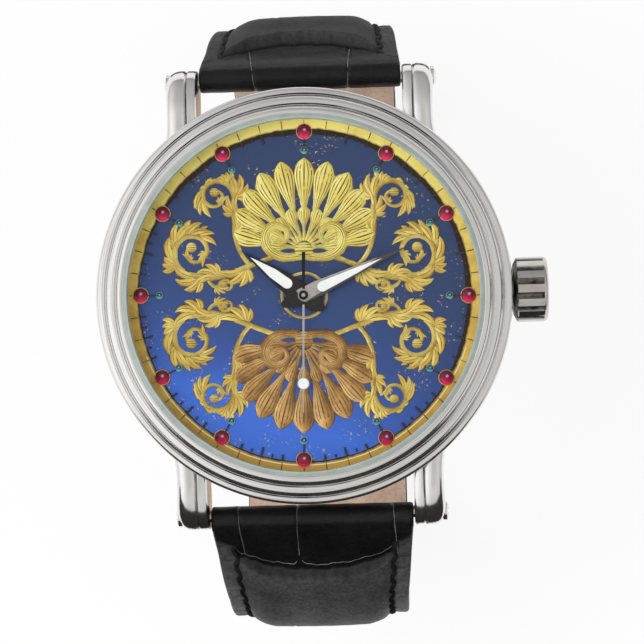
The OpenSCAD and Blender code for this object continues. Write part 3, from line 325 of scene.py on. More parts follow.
CROWN_Z = 3.9                       # height of the crown's axis
MINUTE_TURN = radians(26.87)   # the minute hand's angle from 3 o'clock
SECONDS_METAL = seconds_metal()
STEEL = metal("polished_steel", (0.84, 0.83, 0.815), 0.15, 0.05, 0.0004, 0.05)
BEZEL_STEEL = turned_steel()
BEZEL_LINE = groove_line()
CROWN_STEEL = crown_steel()
STEEL_SATIN = metal("satin_steel", (0.68, 0.67, 0.66), 0.22, 0.08, 0.0015, 0.06, (1, 1, 9))
PIN_STEEL = metal("pin_steel", (0.6, 0.59, 0.58), 0.18, 0.06, 0.001, 0.05)
DARK_METAL = metal("hour_hand", (0.055, 0.053, 0.052), 0.16, 0.05, 0.0004, 0.1)
SILVER_METAL = minute_metal()
BRASS = metal("plate_brass", (0.74, 0.58, 0.27), 0.26, 0.1, 0.002, 0.08, (1, 8, 1))
GILT_WHEEL = metal("wheel_brass", (0.86, 0.66, 0.27), 0.2, 0.06, 0.001, 0.06)
COPPER = metal("coil", (0.62, 0.28, 0.12), 0.3, 0.08, 0.004, 0.1, (30, 1, 1))
IRON = metal("iron", (0.3, 0.3, 0.31), 0.4, 0.1, 0.003, 0.1)
COLLET_GOLD = metal("collet_gold", (0.83, 0.58, 0.16), 0.25, 0.05, 0.001, 0.08)
BLACK_LEATHER = strap_leather()
KEEPER_LEATHER = leather("keeper_leather", (0.010, 0.010, 0.012), (0.024, 0.024, 0.027), 0.42, 4, 0.05)
TAN_LEATHER = leather("tan_leather", (0.54, 0.37, 0.27), (0.74, 0.56, 0.44), 0.62, 2.4, grain_mm=0.03)
THREAD = leather("black_thread", (0.002, 0.002, 0.002), (0.007, 0.007, 0.008), 0.6, 9)
JOINT = leather("scale_joint", (0.05, 0.048, 0.046), (0.32, 0.31, 0.30), 0.5, 9)
LUME = plastic("lume", (0.80, 0.83, 0.80), 0.6)
SEAL = plastic("seal", (0.03, 0.03, 0.03), 0.55)
WHITE_SEAL = plastic("white_seal", (0.75, 0.75, 0.72), 0.5)
HOLDER = plastic("holder", (0.72, 0.7, 0.62), 0.45)
BOARD = plastic("board", (0.02, 0.16, 0.07), 0.35)


# Meshes

BOX = [[3, 2, 1, 0], [4, 5, 6, 7], [0, 1, 5, 4], [1, 2, 6, 5], [2, 3, 7, 6], [3, 0, 4, 7]]


def add_object(name, data):
    made = bpy.data.objects.new(name, data)
    bpy.context.scene.collection.objects.link(made)
    return made


def mesh_object(name, verts, faces, materials=()):
    """An object from points in millimetres."""
    mesh = bpy.data.meshes.new(name)
    mesh.from_pydata([Vector(v) * MM for v in verts], [], faces)
    for material in materials:
        mesh.materials.append(material)
    return add_object(name, mesh)


def place(name, verts, faces, materials, body, flat, uvs=None, picks=None):
    """A piece that rides on body. flat is the angle in degrees above which an edge stays sharp."""
    piece = mesh_object(name, verts, faces, materials)
    mesh = piece.data
    if picks:
        mesh.polygons.foreach_set("material_index", picks)
    mesh.validate()
    for polygon in mesh.polygons:
        polygon.use_smooth = True
    mesh.set_sharp_from_angle(angle=radians(flat))
    if uvs:
        layer = mesh.uv_layers.new(name="UVMap")
        for loop in mesh.loops:
            layer.data[loop.index].uv = uvs[loop.vertex_index]
    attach(piece, body)
    return piece


class Mesh:
    """Points, faces, UVs and material picks gathered before they become one piece."""

    def __init__(self):
        self.verts, self.faces, self.uvs, self.picks = [], [], [], []

    def add(self, verts, faces, uvs=None, pick=0):
        first = len(self.verts)
        self.verts += verts
        self.uvs += uvs or [(0.0, 0.0)] * len(verts)
        self.faces += [[first + i for i in face] for face in faces]
        self.picks += [pick] * len(faces)

    def tube(self, verts, rows, uvs=None):
        """A tube through rows of points, closed at both ends."""
        columns = len(verts) // rows
        ends = [list(range(columns)), list(range(len(verts) - columns, len(verts)))]
        self.add(verts, grid_faces(rows, columns, False, True) + ends, uvs)

    def piece(self, name, materials, slot, flat=40, source=None, turn_out=True):
        """The finished piece, on the case. It takes the place of the node source."""
        made = place(name, self.verts, self.faces, materials, "case", flat, self.uvs, self.picks)
        if turn_out:
            fix_normals(made)
        if source:
            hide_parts(source)
        return made


def grid_faces(rows, columns, closed_rows=False, closed_columns=False):
    faces = []
    for i in range(rows if closed_rows else rows - 1):
        for j in range(columns if closed_columns else columns - 1):
            k, m = (i + 1) % rows, (j + 1) % columns
            faces.append([i * columns + j, i * columns + m, k * columns + m, k * columns + j])
    return faces


def fan(apex, first, count):
    """Triangles between a point and the closed ring of count points that starts at first."""
    return [[apex, first + i, first + (i + 1) % count] for i in range(count)]


def lathe(profile, segments=256, closed=True):
    """Turns (radius, height) points about Z; an open profile starts and ends on the axis."""
    verts, faces = [], []
    ring = [p for p in profile if p[0] > 1e-6]
    for r, z in ring:
        verts += [(*polar(r, a), z) for a in turns(segments)]
    faces = grid_faces(len(ring), segments, closed, True)
    if not closed:
        for first, z in ((0, profile[0][1]), (len(ring) - 1, profile[-1][1])):
            verts.append((0, 0, z))
            faces += fan(len(verts) - 1, first * segments, segments)
    return verts, faces


def fix_normals(piece):
    bm = bmesh.new()
    bm.from_mesh(piece.data)
    bmesh.ops.recalc_face_normals(bm, faces=bm.faces)
    bm.to_mesh(piece.data)
    bm.free()


def reskin(source, ending, material, body="case", bevel=0.0, flat=38):
    """A smooth-shaded copy of a CAD node, with its sharp edges eased by bevel millimetres."""
    bm = bmesh.new()
    bm.from_mesh(NODES[source].data)
    bmesh.ops.remove_doubles(bm, verts=bm.verts, dist=2e-6)
    if bevel:
        bmesh.ops.dissolve_limit(bm, angle_limit=radians(0.5), verts=bm.verts, edges=bm.edges)
    verts = [tuple(v.co / MM) for v in bm.verts]
    faces = [[v.index for v in f.verts] for f in bm.faces]
    bm.free()
    piece = place(source + ending, verts, faces, [material], body, flat)
    if bevel:
        modifier = piece.modifiers.new("eased_edges", "BEVEL")
        modifier.width = bevel * MM
        modifier.segments = 2
        modifier.limit_method = "ANGLE"
        modifier.angle_limit = radians(flat)
    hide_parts(source)


# Camera: above the dial, a little towards 3 and 6 o'clock, rolled as in the picture

ROLL = radians(1.67)
PLANE_Z = 7.2                      # height of the bezel's edge, where a pixel is FRAME / 644
DISTANCE = 215.0
FRAME = 67.7                       # width of the view at that height
EYE = Vector((11.5, -7.0, PLANE_Z + DISTANCE))
AIM = Vector((1.85, -2.88, PLANE_Z))
lens = bpy.data.cameras.new("camera")
lens.sensor_width = 36
lens.lens = 36 * DISTANCE / FRAME
lens.clip_start = 0.005
camera = add_object("camera", lens)
bpy.context.scene.camera = camera
forward = (AIM - EYE).normalized()
right = forward.cross(Vector((sin(ROLL), cos(ROLL), 0))).normalized()
above = right.cross(forward)
camera.matrix_world = Matrix.Translation(EYE * MM) @ Matrix((right, above, -forward)).transposed().to_4x4()


# Bezel and crystal

def step(outer, inner, low, high):
    """A step of the bezel: a fine groove, a hollow foot, an even slope and a crisp crest."""
    run, rise = inner - outer, high - low
    shape = ((0.0, 0.0), (0.1, 0.02), (0.2, 0.09), (0.3, 0.2), (0.85, 0.88), (0.93, 0.96), (1.0, 1.0))
    return [(outer + 0.15, low), (outer + 0.14, low - 0.07), (outer + 0.01, low - 0.07)] + [
        (outer + run * a, low + rise * b) for a, b in shape]


bezel_profile = (
    [(19.92, 6.62), (21.5, 6.62)] + arc(21.6, 7.02, 0.4, -80, 0, 6) + arc(21.5, 7.12, 0.5, 8, 84, 8)
    + step(21.18, 20.74, 7.65, 8.3) + [(20.5, 8.36), (20.3, 8.38)]
    + step(20.02, 19.56, 8.4, 9.03) + [
        (19.4, 9.1), (19.1, 9.13), (19.0, 9.1), (19.0, 9.02), (19.27, 9.0), (19.27, 7.96), (18.87, 7.96),
        (18.87, 6.44), (19.17, 6.44), (19.17, 7.28), (19.92, 7.28)])
bezel = Mesh()
bezel.add(*lathe(bezel_profile, 360))
deep = [i for i, (a, b) in enumerate(zip(bezel_profile, bezel_profile[1:] + bezel_profile[:1]))
        if min(abs(min(a[1], b[1]) - bed) for bed in (7.58, 8.33)) < 1e-6]
bezel.picks = [1 if k // 360 in deep else 0 for k in range(len(bezel.faces))]
bezel.piece("bezel_polished", [BEZEL_STEEL, BEZEL_LINE], "polished_steel", 40, "bezel")


def glass_face():
    look = Look("crystal_face", IOR=1.5, Alpha=0.012)
    return look.finish((0.1, 0.12, 0.12), look.noise(0.5).tones(0.015, 0.03))


def glass_rim():
    """The ground, grey-green edge of the crystal, with a painted highlight along its inner edge, lighter towards
    its crest.
    """
    look = Look("crystal_rim", IOR=1.5, Alpha=0.92)
    # The first, pale stop is a painted highlight; the rest is the rim's grey-green tint, lighter towards its
    # crest.
    tint_and_highlight = look.ring()[0].spread(18.45, 18.96).ramp(
        (0.0, (0.62, 0.68, 0.62)), (0.12, (0.36, 0.42, 0.39)), (0.75, (0.30, 0.36, 0.34)),
        (1.0, (0.5, 0.55, 0.52)))
    cloud = look.noise(0.6, 4).tones(0.85, 1.1)
    return look.finish(look.blend(1.0, tint_and_highlight, cloud, "MULTIPLY"), look.noise(9).tones(0.3, 0.42))


FACE_R, CRYSTAL_R, UNDER_Z, OVER_Z = 18.47, 19.25, 8.11, 9.49
crystal = Mesh()
crystal.add(*lathe([(0, UNDER_Z), (9, UNDER_Z), (FACE_R, UNDER_Z), (FACE_R, OVER_Z), (9, OVER_Z), (0, OVER_Z)],
                   closed=False))
crystal.add(*lathe([(18.475, UNDER_Z), (CRYSTAL_R, UNDER_Z), (CRYSTAL_R, 8.98), (18.97, 9.0), (18.96, 9.28),
                    (18.9, 9.34), (18.55, 9.475), (18.475, 9.485)]), pick=1)
crystal = crystal.piece("crystal_glass", [glass_face(), glass_rim()], "crystal", 50, "crystal")
crystal.visible_shadow = False


# Case parts carried over from the solids

reskin("mid_case", "_polished", STEEL, bevel=0.1)
reskin("case_back", "_satin", STEEL_SATIN, flat=30)
reskin("crown", "_polished", CROWN_STEEL, "crown", bevel=0.05)
reskin("bar_screws", "_polished", STEEL, bevel=0.04)
reskin("buckle_frame", "_polished", STEEL, bevel=0.18, flat=30)
reskin("buckle_tongue", "_polished", STEEL, "tongue", bevel=0.14, flat=30)

carried = {
    STEEL_SATIN: ["battery", "battery_clamp", "bridge_screws", "quartz_can"],
    PIN_STEEL: ["seconds_wheel", "crown_tube", "strap_bars", "stem", "setting_lever", "buckle_bar"],
    BRASS: ["main_plate", "train_bridge"],
    GILT_WHEEL: ["fifth_wheel", "third_wheel", "centre_wheel", "cannon_pinion", "minute_wheel",
                 "setting_wheel", "hour_wheel", "clutch_pinion"],
    COPPER: ["coil"],
    IRON: ["stator", "rotor"],
    SEAL: ["back_gasket", "crown_gasket"],
    WHITE_SEAL: ["crystal_gasket"],
    HOLDER: ["movement_holder"],
    BOARD: ["circuit_board"],
    LUME: ["hour_lume", "minute_lume", "seconds_dot"],
    SECONDS_METAL: ["seconds_hand"],
}
for material, names in carried.items():
    for name in names:
        slots = NODES[name].data.materials
        slots.clear()
        slots.append(material)


# Hands: frames with eased edges

reskin("hour_hand", "_frame", DARK_METAL, "hour", 0.05, 30)
reskin("minute_hand", "_frame", SILVER_METAL, "minute", 0.05, 30)


# Dial

DIAL_Z, DIAL_R, HOLE_R = 6.4, 19.1, 0.95
DIAL_TURN = radians(-1.67)


def turned(x, y, flip):
    """A place on the dial, which is turned a little against the case; flip mirrors it first."""
    x, y = x * flip[0], y * flip[1]
    c, s = cos(DIAL_TURN), sin(DIAL_TURN)
    return (x * c - y * s, x * s + y * c)


def dial_ground():
    """Blue enamel, dark above and bright below on the left, with grains of leaf gold in it."""
    look = Look("dial_ground", Specular_IOR_Level=0.3)
    lean = look.where.vector("DOT_PRODUCT", (-0.014, -0.038, 0), "Value")
    blue = (lean + look.noise(0.11) * 0.35 + 0.06).ramp(
        (0.0, (0.026, 0.046, 0.118)), (0.3, (0.028, 0.056, 0.165)), (0.46, (0.030, 0.064, 0.21)),
        (0.63, (0.034, 0.085, 0.33)), (0.78, (0.042, 0.135, 0.57)))
    grain = look.noise(3.4, 5, 0.65)
    fleck = (grain > 0.635) * (look.noise(0.28, 2) > 0.53)
    return look.finish(look.blend(fleck, blue, (0.56, 0.42, 0.12)), grain.tones(0.35, 0.5),
                       grain, 0.01)


def gilt(name, shade, body, light):
    """Engraved gold print: the UV runs along and across each leaf, and sets its outline, rib and flutes.
    Where U is negative the leaf is plain, with a wider outline."""
    look = Look(name, Metallic=0.15)
    along, across = look.uv().part(0), look.uv().part(1)
    side = (across * 2.0 - 1.0).size()
    cloud = look.noise(0.5, 4, 0.6)
    # Painted shade: the tone runs from shade to light across each leaf, as if its relief were lit from one side.
    tone = (cloud * 0.7 + across * 0.36).ramp((0.28, shade), (0.5, body), (0.78, light))
    flutes = side.between(0.34, 0.42).most(side.between(0.62, 0.70))
    flutes = flutes * (along + look.noise(1.7, 2) * 0.5).between(0.3, 1.15)
    edge = side > 0.86 - (along < 0.0) * 0.16
    lines = flutes.most(side < 0.06).most(edge)
    worn = lines * look.noise(1.3).ramp((0.36, 0.35), (0.5, 1.0))
    return look.finish(look.blend(worn, tone, (0.10, 0.055, 0.03)), cloud.tones(0.38, 0.52),
                       1.0 - lines, 0.02)


PALE_GOLD = gilt("pale_gold", (0.56, 0.42, 0.07), (0.72, 0.60, 0.13), (0.84, 0.76, 0.26))
GOLD = gilt("dial_gold", (0.32, 0.18, 0.03), (0.60, 0.43, 0.08), (0.82, 0.70, 0.22))
BRONZE = gilt("dial_bronze", (0.15, 0.065, 0.014), (0.38, 0.20, 0.045), (0.72, 0.46, 0.17))


def trace(start, heading, length, bend0, bend1, step_mm):
    """Points of a curl that sets out at heading and bends by bend0 to bend1 degrees a millimetre."""
    x, y = start
    count = max(3, int(length / step_mm))
    points = [(x, y)]
    for i in range(count):
        heading += mix(bend0, bend1, (i + 0.5) / count) * length / count
        x += cos(radians(heading)) * length / count
        y += sin(radians(heading)) * length / count
        points.append((x, y))
    return points


def direction(points, i):
    a, b = points[max(0, i - 1)], points[min(len(points) - 1, i + 1)]
    return b[0] - a[0], b[1] - a[1]


def blade(points, half, rise, base, tip, flip, pick, swell, lobes=0.0, across=8, fluted=True, power=0.75):
    """A leaf or a stem laid on the dial along points. half is its widest half width, swell says how far
    along that lies, and base and tip are the least shares of it at the ends."""
    verts, uvs = [], []
    last = len(points) - 1
    for i, (x, y) in enumerate(points):
        dx, dy = direction(points, i)
        size = hypot(dx, dy) or 1
        t = i / last
        body = sin(pi * t ** (log(0.5) / log(swell))) ** power if 0 < t < 1 else 0
        width = half * max(mix(base, tip, t), body) * (1 + lobes * (abs(sin(2 * pi * t)) - 0.5))
        for j in range(across + 1):
            v = 2 * j / across - 1
            px, py = turned(x - dy / size * width * v, y + dx / size * width * v, flip)
            verts.append((px, py, DIAL_Z + 0.012 + rise * (1 - v * v) * min(1, width / 0.5)))
            uvs.append((t if fluted else -1.0, (v + 1) / 2))
    ornament.add(verts, grid_faces(last + 1, across + 1), uvs, pick)


dial = Mesh()
dial.add(*lathe([(HOLE_R, 6.0), (DIAL_R, 6.0), (DIAL_R, DIAL_Z), (17.0, DIAL_Z), (9.0, DIAL_Z),
                 (HOLE_R, DIAL_Z)], 192))
dial.piece("dial_enamel", [dial_ground()], "dial_plate", 40, "dial")


def ring_gold():
    """The minute ring: pale gold set in short segments, warmer below, with a painted highlight line on its lower
    part and a painted brown shadow inside it.
    """
    look = Look("minute_ring", Metallic=0.1, Specular_IOR_Level=0.3)
    x, y, radius = look.where.part(0), look.where.part(1), look.ring()[0]
    segment = ((y.maths("ARCTAN2", x) + (0.0014 - DIAL_TURN)) * (48 / (2 * pi))).maths("FRACT")
    cloud = look.noise(0.45, 5, 0.65)
    tone = (y * 0.02 + cloud).ramp(
        (0.2, (0.50, 0.30, 0.055)), (0.5, (0.70, 0.48, 0.10)), (0.82, (0.84, 0.72, 0.19)))
    joint = (segment < 0.045) * radius.between(17.8, 18.6) * look.noise(1.5, 2).ramp((0.35, 0.5), (0.55, 0.95))
    # Painted highlight: a pale line near the ring's inner edge, on its lower side only.
    light = radius.between(17.86, 17.97) * (y < -6.0)
    shadow = (radius + look.noise(1.2) * 0.3).spread(17.96, 17.76)
    colour = look.blend(shadow, look.blend(light, tone, (0.80, 0.74, 0.42)), (0.026, 0.013, 0.009))
    return look.finish(look.blend(joint, colour, (0.07, 0.035, 0.02)), cloud.tones(0.4, 0.55),
                       1.0 - joint, 0.02)


ring = Mesh()
points = []
for a in map(radians, range(360)):
    upper = smooth((sin(a + 0.5) + 0.35) / 0.8)
    worn = 0.06 * sin(9 * a) + 0.05 * sin(23 * a + 1)
    inner = 17.52 - upper * (0.4 + worn) - 0.03 * sin(31 * a)
    for r, lift in ((inner, 0.005), (inner, 0.02), (17.6, 0.04), (18.4, 0.06), (19.05, 0.05), (19.05, 0.005)):
        points.append((*polar(r, a), DIAL_Z + lift))
ring.add(points, grid_faces(360, 6, True, True))
ring.piece("minute_ring", [ring_gold()], "dial_plate", 50)


def ink():
    look = Look("dial_ink")
    tone = look.noise(3)
    return look.finish(tone.tones((0.012, 0.01, 0.012), (0.03, 0.024, 0.026)),
                       tone.tones(0.4, 0.6), tone, 0.004)


ticks = Mesh()
TICKS_AN_HOUR = 8
LONG, MIDDLE, SMALL, BAR = (16.6, 17.5, 0.105), (16.95, 17.5, 0.105), (17.06, 17.42, 0.085), (15.7, 16.6, 0.075)
for k in range(12 * TICKS_AN_HOUR):
    tick = (BAR, None, MIDDLE, SMALL, LONG, SMALL, MIDDLE, None)[k % TICKS_AN_HOUR]
    if tick:
        inside, outside, half = tick
        angle = radians(90 - 30 / TICKS_AN_HOUR * k) + DIAL_TURN
        c, s = cos(angle), sin(angle)
        corners = ((inside, -half), (outside, -half), (outside, half), (inside, half))
        ticks.add([(c * r - s * h, s * r + c * h, z) for z in (DIAL_Z, DIAL_Z + 0.13) for r, h in corners], BOX)
ticks.piece("minute_ticks", [ink()], "dial_plate", turn_out=False)


def stone_look(name, dark, middle, bright, glint):
    """A polished cabochon: painted shade above and a painted glow below, as of light leaving it, with a painted
    soft glint.
    """
    look = Look(name, Coat_Weight=0.25, Coat_Roughness=0.1, Specular_IOR_Level=0.25)
    wavy = look.uv().part(1) + look.noise(1.5, 2) * 0.12
    # Painted light: dark towards the top, glowing bright towards the bottom.
    body = wavy.ramp((0.14, bright), (0.36, middle), (0.58, dark), (1.0, dark))
    # Painted highlight: a soft glint spot above and right of the centre.
    painted_glint = look.uv().vector("DISTANCE", (0.54, 0.6, 0), "Value").spread(0.13, 0.02)
    return look.finish(look.blend(painted_glint, body, glint), wavy.ramp((0.1, 0.2), (0.9, 0.14)))


def dome(mesh, x, y, r, height, pick, rings=8, segments=32):
    verts, uvs = [], []
    for i in range(rings):
        a = pi / 2 * i / rings
        for b in turns(segments):
            dx, dy = cos(a) * cos(b), cos(a) * sin(b)
            verts.append((x + r * dx, y + r * dy, DIAL_Z + 0.02 + height * sin(a)))
            uvs.append((0.5 + dx / 2, 0.5 + dy / 2))
    faces = grid_faces(rings, segments, False, True) + fan(rings * segments, (rings - 1) * segments, segments)
    verts.append((x, y, DIAL_Z + 0.02 + height))
    uvs.append((0.5, 0.5))
    mesh.add(verts, faces, uvs, pick)


def collet(x, y, r, thick, segments=32, sides=8):
    """The thin gold ring that holds a stone."""
    verts = []
    for a in turns(segments):
        for b in turns(sides):
            z = DIAL_Z + 0.08 + thick * 0.8 * sin(b)
            verts.append((*polar(r + thick * cos(b), a, x, y), z))
    stones.add(verts, grid_faces(segments, sides, True, True), None, 1)


STONE_RING, BEAD_RING = 17.35, 15.35
stones = Mesh()
for hour in range(12):
    angle = radians(30 * hour) + DIAL_TURN
    x, y = polar(STONE_RING, angle)
    dome(stones, x, y, 0.8, 0.42, 0)
    collet(x, y, 0.81, 0.055)
    x, y = polar(BEAD_RING, angle)
    dome(stones, x, y, 0.36, 0.22, 2, 6, 20)
    collet(x, y, 0.355, 0.025, 20, 6)
red = stone_look("red_stone", (0.12, 0.006, 0.03), (0.42, 0.006, 0.055), (0.84, 0.02, 0.12),
                 (0.85, 0.3, 0.42))
green = stone_look("turquoise_bead", (0.004, 0.08, 0.10), (0.01, 0.22, 0.25), (0.08, 0.5, 0.5),
                   (0.3, 0.7, 0.7))
stones.piece("hour_stones", [red, COLLET_GOLD, green], "marker_stone", 60, "hour_markers")

ornament = Mesh()
HUB_RING = 2.35


def shell(foot, reach, spread, count, flip, pick):
    """A scallop shell: rounded ribs that widen from its foot, longest in the middle."""
    half = 0.5 * 0.8 * reach * radians(2 * spread / (count - 1)) * 1.1
    for i in sorted(range(count), key=lambda i: -abs(2 * i - count + 1)):
        lean = spread * (2 * i / (count - 1) - 1)
        length = reach * (1 - 0.2 * (lean / spread) ** 2)
        start = (foot[0] + 0.9 * sin(radians(lean)), foot[1] + 0.9 * cos(radians(lean)))
        points = trace(start, 90 - lean, length - 0.9, -lean * 0.02, lean * 0.06, 0.2)
        blade(points, half, 0.16, 0.16, 0.0, flip, pick, 0.8, 0.05)


def heading_at(points, share):
    i = int(share * (len(points) - 1))
    dx, dy = direction(points, i)
    return points[i], degrees(atan2(dy, dx))


def leaf(start, way, side, reach, wide, flip, pick):
    """Half of an acanthus leaf: pointed lobes that fan out from the stem and curl after it."""
    for k in (3, 2, 1, 0):
        length = reach * (1 - 0.16 * k)
        for _ in range(9):
            lobe = trace(start, way + side * (14 + 31 * k), length, -side * 8, -side * (36 + 8 * k), 0.15)
            if max(hypot(x, y) for x, y in lobe) < 15.6:
                break
            length *= 0.84
        blade(lobe, wide * (0.42 - 0.035 * k), 0.2 - 0.03 * k, 0.35, 0.0, flip, pick, 0.52,
              fluted=False, power=1.0)


def volute(stem, centre, r0, r1, a0, rounds, way):
    """Points of a stem through the given places that then winds into a spiral about centre."""
    spiral = []
    count = int(rounds * 40)
    for i in range(count + 1):
        t = i / count
        a, r = radians(a0 + way * 360 * rounds * t), r0 + (r1 - r0) * t ** 0.85
        spiral.append(polar(r, a, *centre))
    lead = [(p.x, p.y) for p in curve(stem + [spiral[0]], 26)][:-1]
    return lead + spiral


def scroll(points, half, flip, pick, leaves):
    """A stem that ends in a volute, with leaves springing from both its sides."""
    for share, side, reach in leaves:
        foot, way = heading_at(points, share)
        leaf(foot, way, side, reach, reach * 0.38, flip, pick)
    blade(points, half, 0.2, 0.75, 0.5, flip, pick, 0.3, across=6)
    dome(ornament, *turned(*points[-1], flip), half * 1.5, 0.2, pick, 5, 16)


for side in (1, -1):
    for up in (1, -1):
        flip = (side, up)
        points = volute([(2.2, 4.4), (6.0, 3.3), (8.6, 1.4)], (11.7, 4.6), 2.6, 0.55, -100, 1.45, 1)
        scroll(points, 0.38, flip, 0, [
            (0.12, -1, 3.4), (0.23, 1, 3.0), (0.3, -1, 3.6), (0.4, -1, 3.4), (0.47, -1, 3.2), (0.53, -1, 2.9),
            (0.58, -1, 2.5), (0.7, 1, 1.5), (0.84, 1, 1.1)])
        points = volute([(5.6, 3.1), (8.2, 5.4), (7.0, 8.6)], (9.4, 10.5), 2.1, 0.45, 200, 1.35, -1)
        scroll(points, 0.34, flip, 0, [
            (0.16, 1, 2.4), (0.26, -1, 2.6), (0.36, 1, 3.2), (0.43, 1, 3.1), (0.5, 1, 2.9), (0.56, 1, 2.6),
            (0.62, 1, 2.3), (0.78, -1, 1.2)])
        points = volute([(10.4, 2.1), (9.8, 0.7)], (8.2, 1.0), 0.8, 0.3, 0, 1.1, 1)
        scroll(points, 0.22, flip, 0, [(0.3, 1, 1.5)])
for up, pick in ((1, 2), (-1, 1)):
    shell((0, 4.9), 9.7, 78, 11, (1, up), pick)
    shell((0, 4.9), 4.6, 84, 9, (1, up), pick)
    for side in (1, -1):
        blade(trace((0.3, 4.2), -14, 11.5, 6, 74, 0.16), 0.62, 0.26, 0.8, 0.4, (side, up), pick, 0.35)
    dome(ornament, *turned(0, 4.7, (1, up)), 1.0, 0.3, pick, 8, 40)
blade(arc(0, 0, HUB_RING, 90, -270, 72), 0.17, 0.05, 1.0, 1.0, (1, 1), 0, 0.5)
ornament.piece("dial_ornament", [GOLD, BRONZE, PALE_GOLD], "dial_plate", 60, turn_out=False)


# Strap

END_Y, BAR_Z, END_R = 23.8, 2.0, 1.43
FLOOR = -42.0
SHORT_MID, LONG_MID, TAIL_MID = -37.16, -38.58, -39.58
SHORT_FLAT, LONG_FLAT = 18.6, 17.0
STRAP_W, END_W, TAPER_S, THIN_S, PAD_S, PAD_T = 21.7, 20.0, 13.0, 46.0, 9.0, 4.2
SHORT_T, TAIL_T, LINING_T, PLAY = 2.4, 2.2, 0.7, 0.12
LINING_FROM = 5.0
SEAM = 1.9                         # how far in from the edge the thread runs, on the broad part


class Path:
    """A line in the (y, z) plane, read by its length; the normal points to the strap's outer side."""

    def __init__(self, points, side):
        self.points, self.side = [points[0]], side
        self.run = [0.0]
        for p in points[1:]:
            gap = (p - self.points[-1]).length
            if gap > 1e-4:
                self.run.append(self.run[-1] + gap)
                self.points.append(p)
        self.length = self.run[-1]

    def at(self, s):
        s = max(0.0, min(self.length, s))
        k = min(len(self.run) - 1, bisect.bisect_right(self.run, s))
        return self.points[k - 1].lerp(self.points[k], (s - self.run[k - 1]) / (self.run[k] - self.run[k - 1]))

    def normal(self, s):
        t = (self.at(s + 0.4) - self.at(s - 0.4)).normalized()
        return Vector((-t.y, t.x)) if self.side > 0 else Vector((t.y, -t.x))


def cad_thick(s, last):
    if s < PAD_S:
        return mix(2 * END_R - 0.1, PAD_T, smooth((s - 1) / (PAD_S - 1)))
    return mix(PAD_T, last, smooth((s - PAD_S) / (THIN_S - PAD_S)))


short_curve = curve([(30.4, BAR_Z - 17), (30.4, SHORT_MID + 7.5), (SHORT_FLAT + 7.5, SHORT_MID),
                     (SHORT_FLAT, SHORT_MID)], 130)
first_curve = 120
short_path = Path(
    curve([(END_Y, BAR_Z), (END_Y + 3.2, BAR_Z - 3.2), (30.4, BAR_Z - 8.5), (30.4, BAR_Z - 17)], first_curve)
    + short_curve + [Vector((mix(SHORT_FLAT, 2, i / 40), SHORT_MID)) for i in range(41)], 1)
tail_points = []
for k in range(len(short_curve) - 1, int(len(short_curve) * 6 / 13), -1):
    s = short_path.run[first_curve + k]
    away = cad_thick(s, SHORT_T) / 2 + PLAY + TAIL_T / 2
    tail_points.append(short_path.at(s) + short_path.normal(s) * away)
long_path = Path(
    curve([(-END_Y, BAR_Z), (-END_Y - 4.4, BAR_Z - 3), (-35.4, BAR_Z - 9), (-35.4, BAR_Z - 18)], 120)
    + curve([(-35.4, BAR_Z - 18), (-35.4, LONG_MID + 9), (-LONG_FLAT - 9, LONG_MID), (-LONG_FLAT, LONG_MID)],
            120)
    + [Vector((y / 4, mix(LONG_MID, TAIL_MID, smooth((y / 4 + 6) / 6)))) for y in range(-66, 73)]
    + tail_points, -1)


def rows_of(length, first, seed):
    """Where each row of scales ends, and where its joints run: two or three big scales across the middle."""
    chance = random.Random(seed)
    rows, s = [(first, [chance.uniform(-3.4, -2.6), chance.uniform(7.2, 8.0)], 0.0)], first + 17
    while s < length:
        joints = [chance.uniform(-3.2, 1.2), chance.uniform(6.6, 8.6), -chance.uniform(6.8, 8.6)]
        if chance.random() < 0.35:
            joints[0] -= 2.2
            joints.append(joints[0] + chance.uniform(5.0, 6.5))
        rows.append((s, joints, chance.uniform(-0.5, 0.5)))
        s += chance.uniform(5.4, 6.7)
    return rows


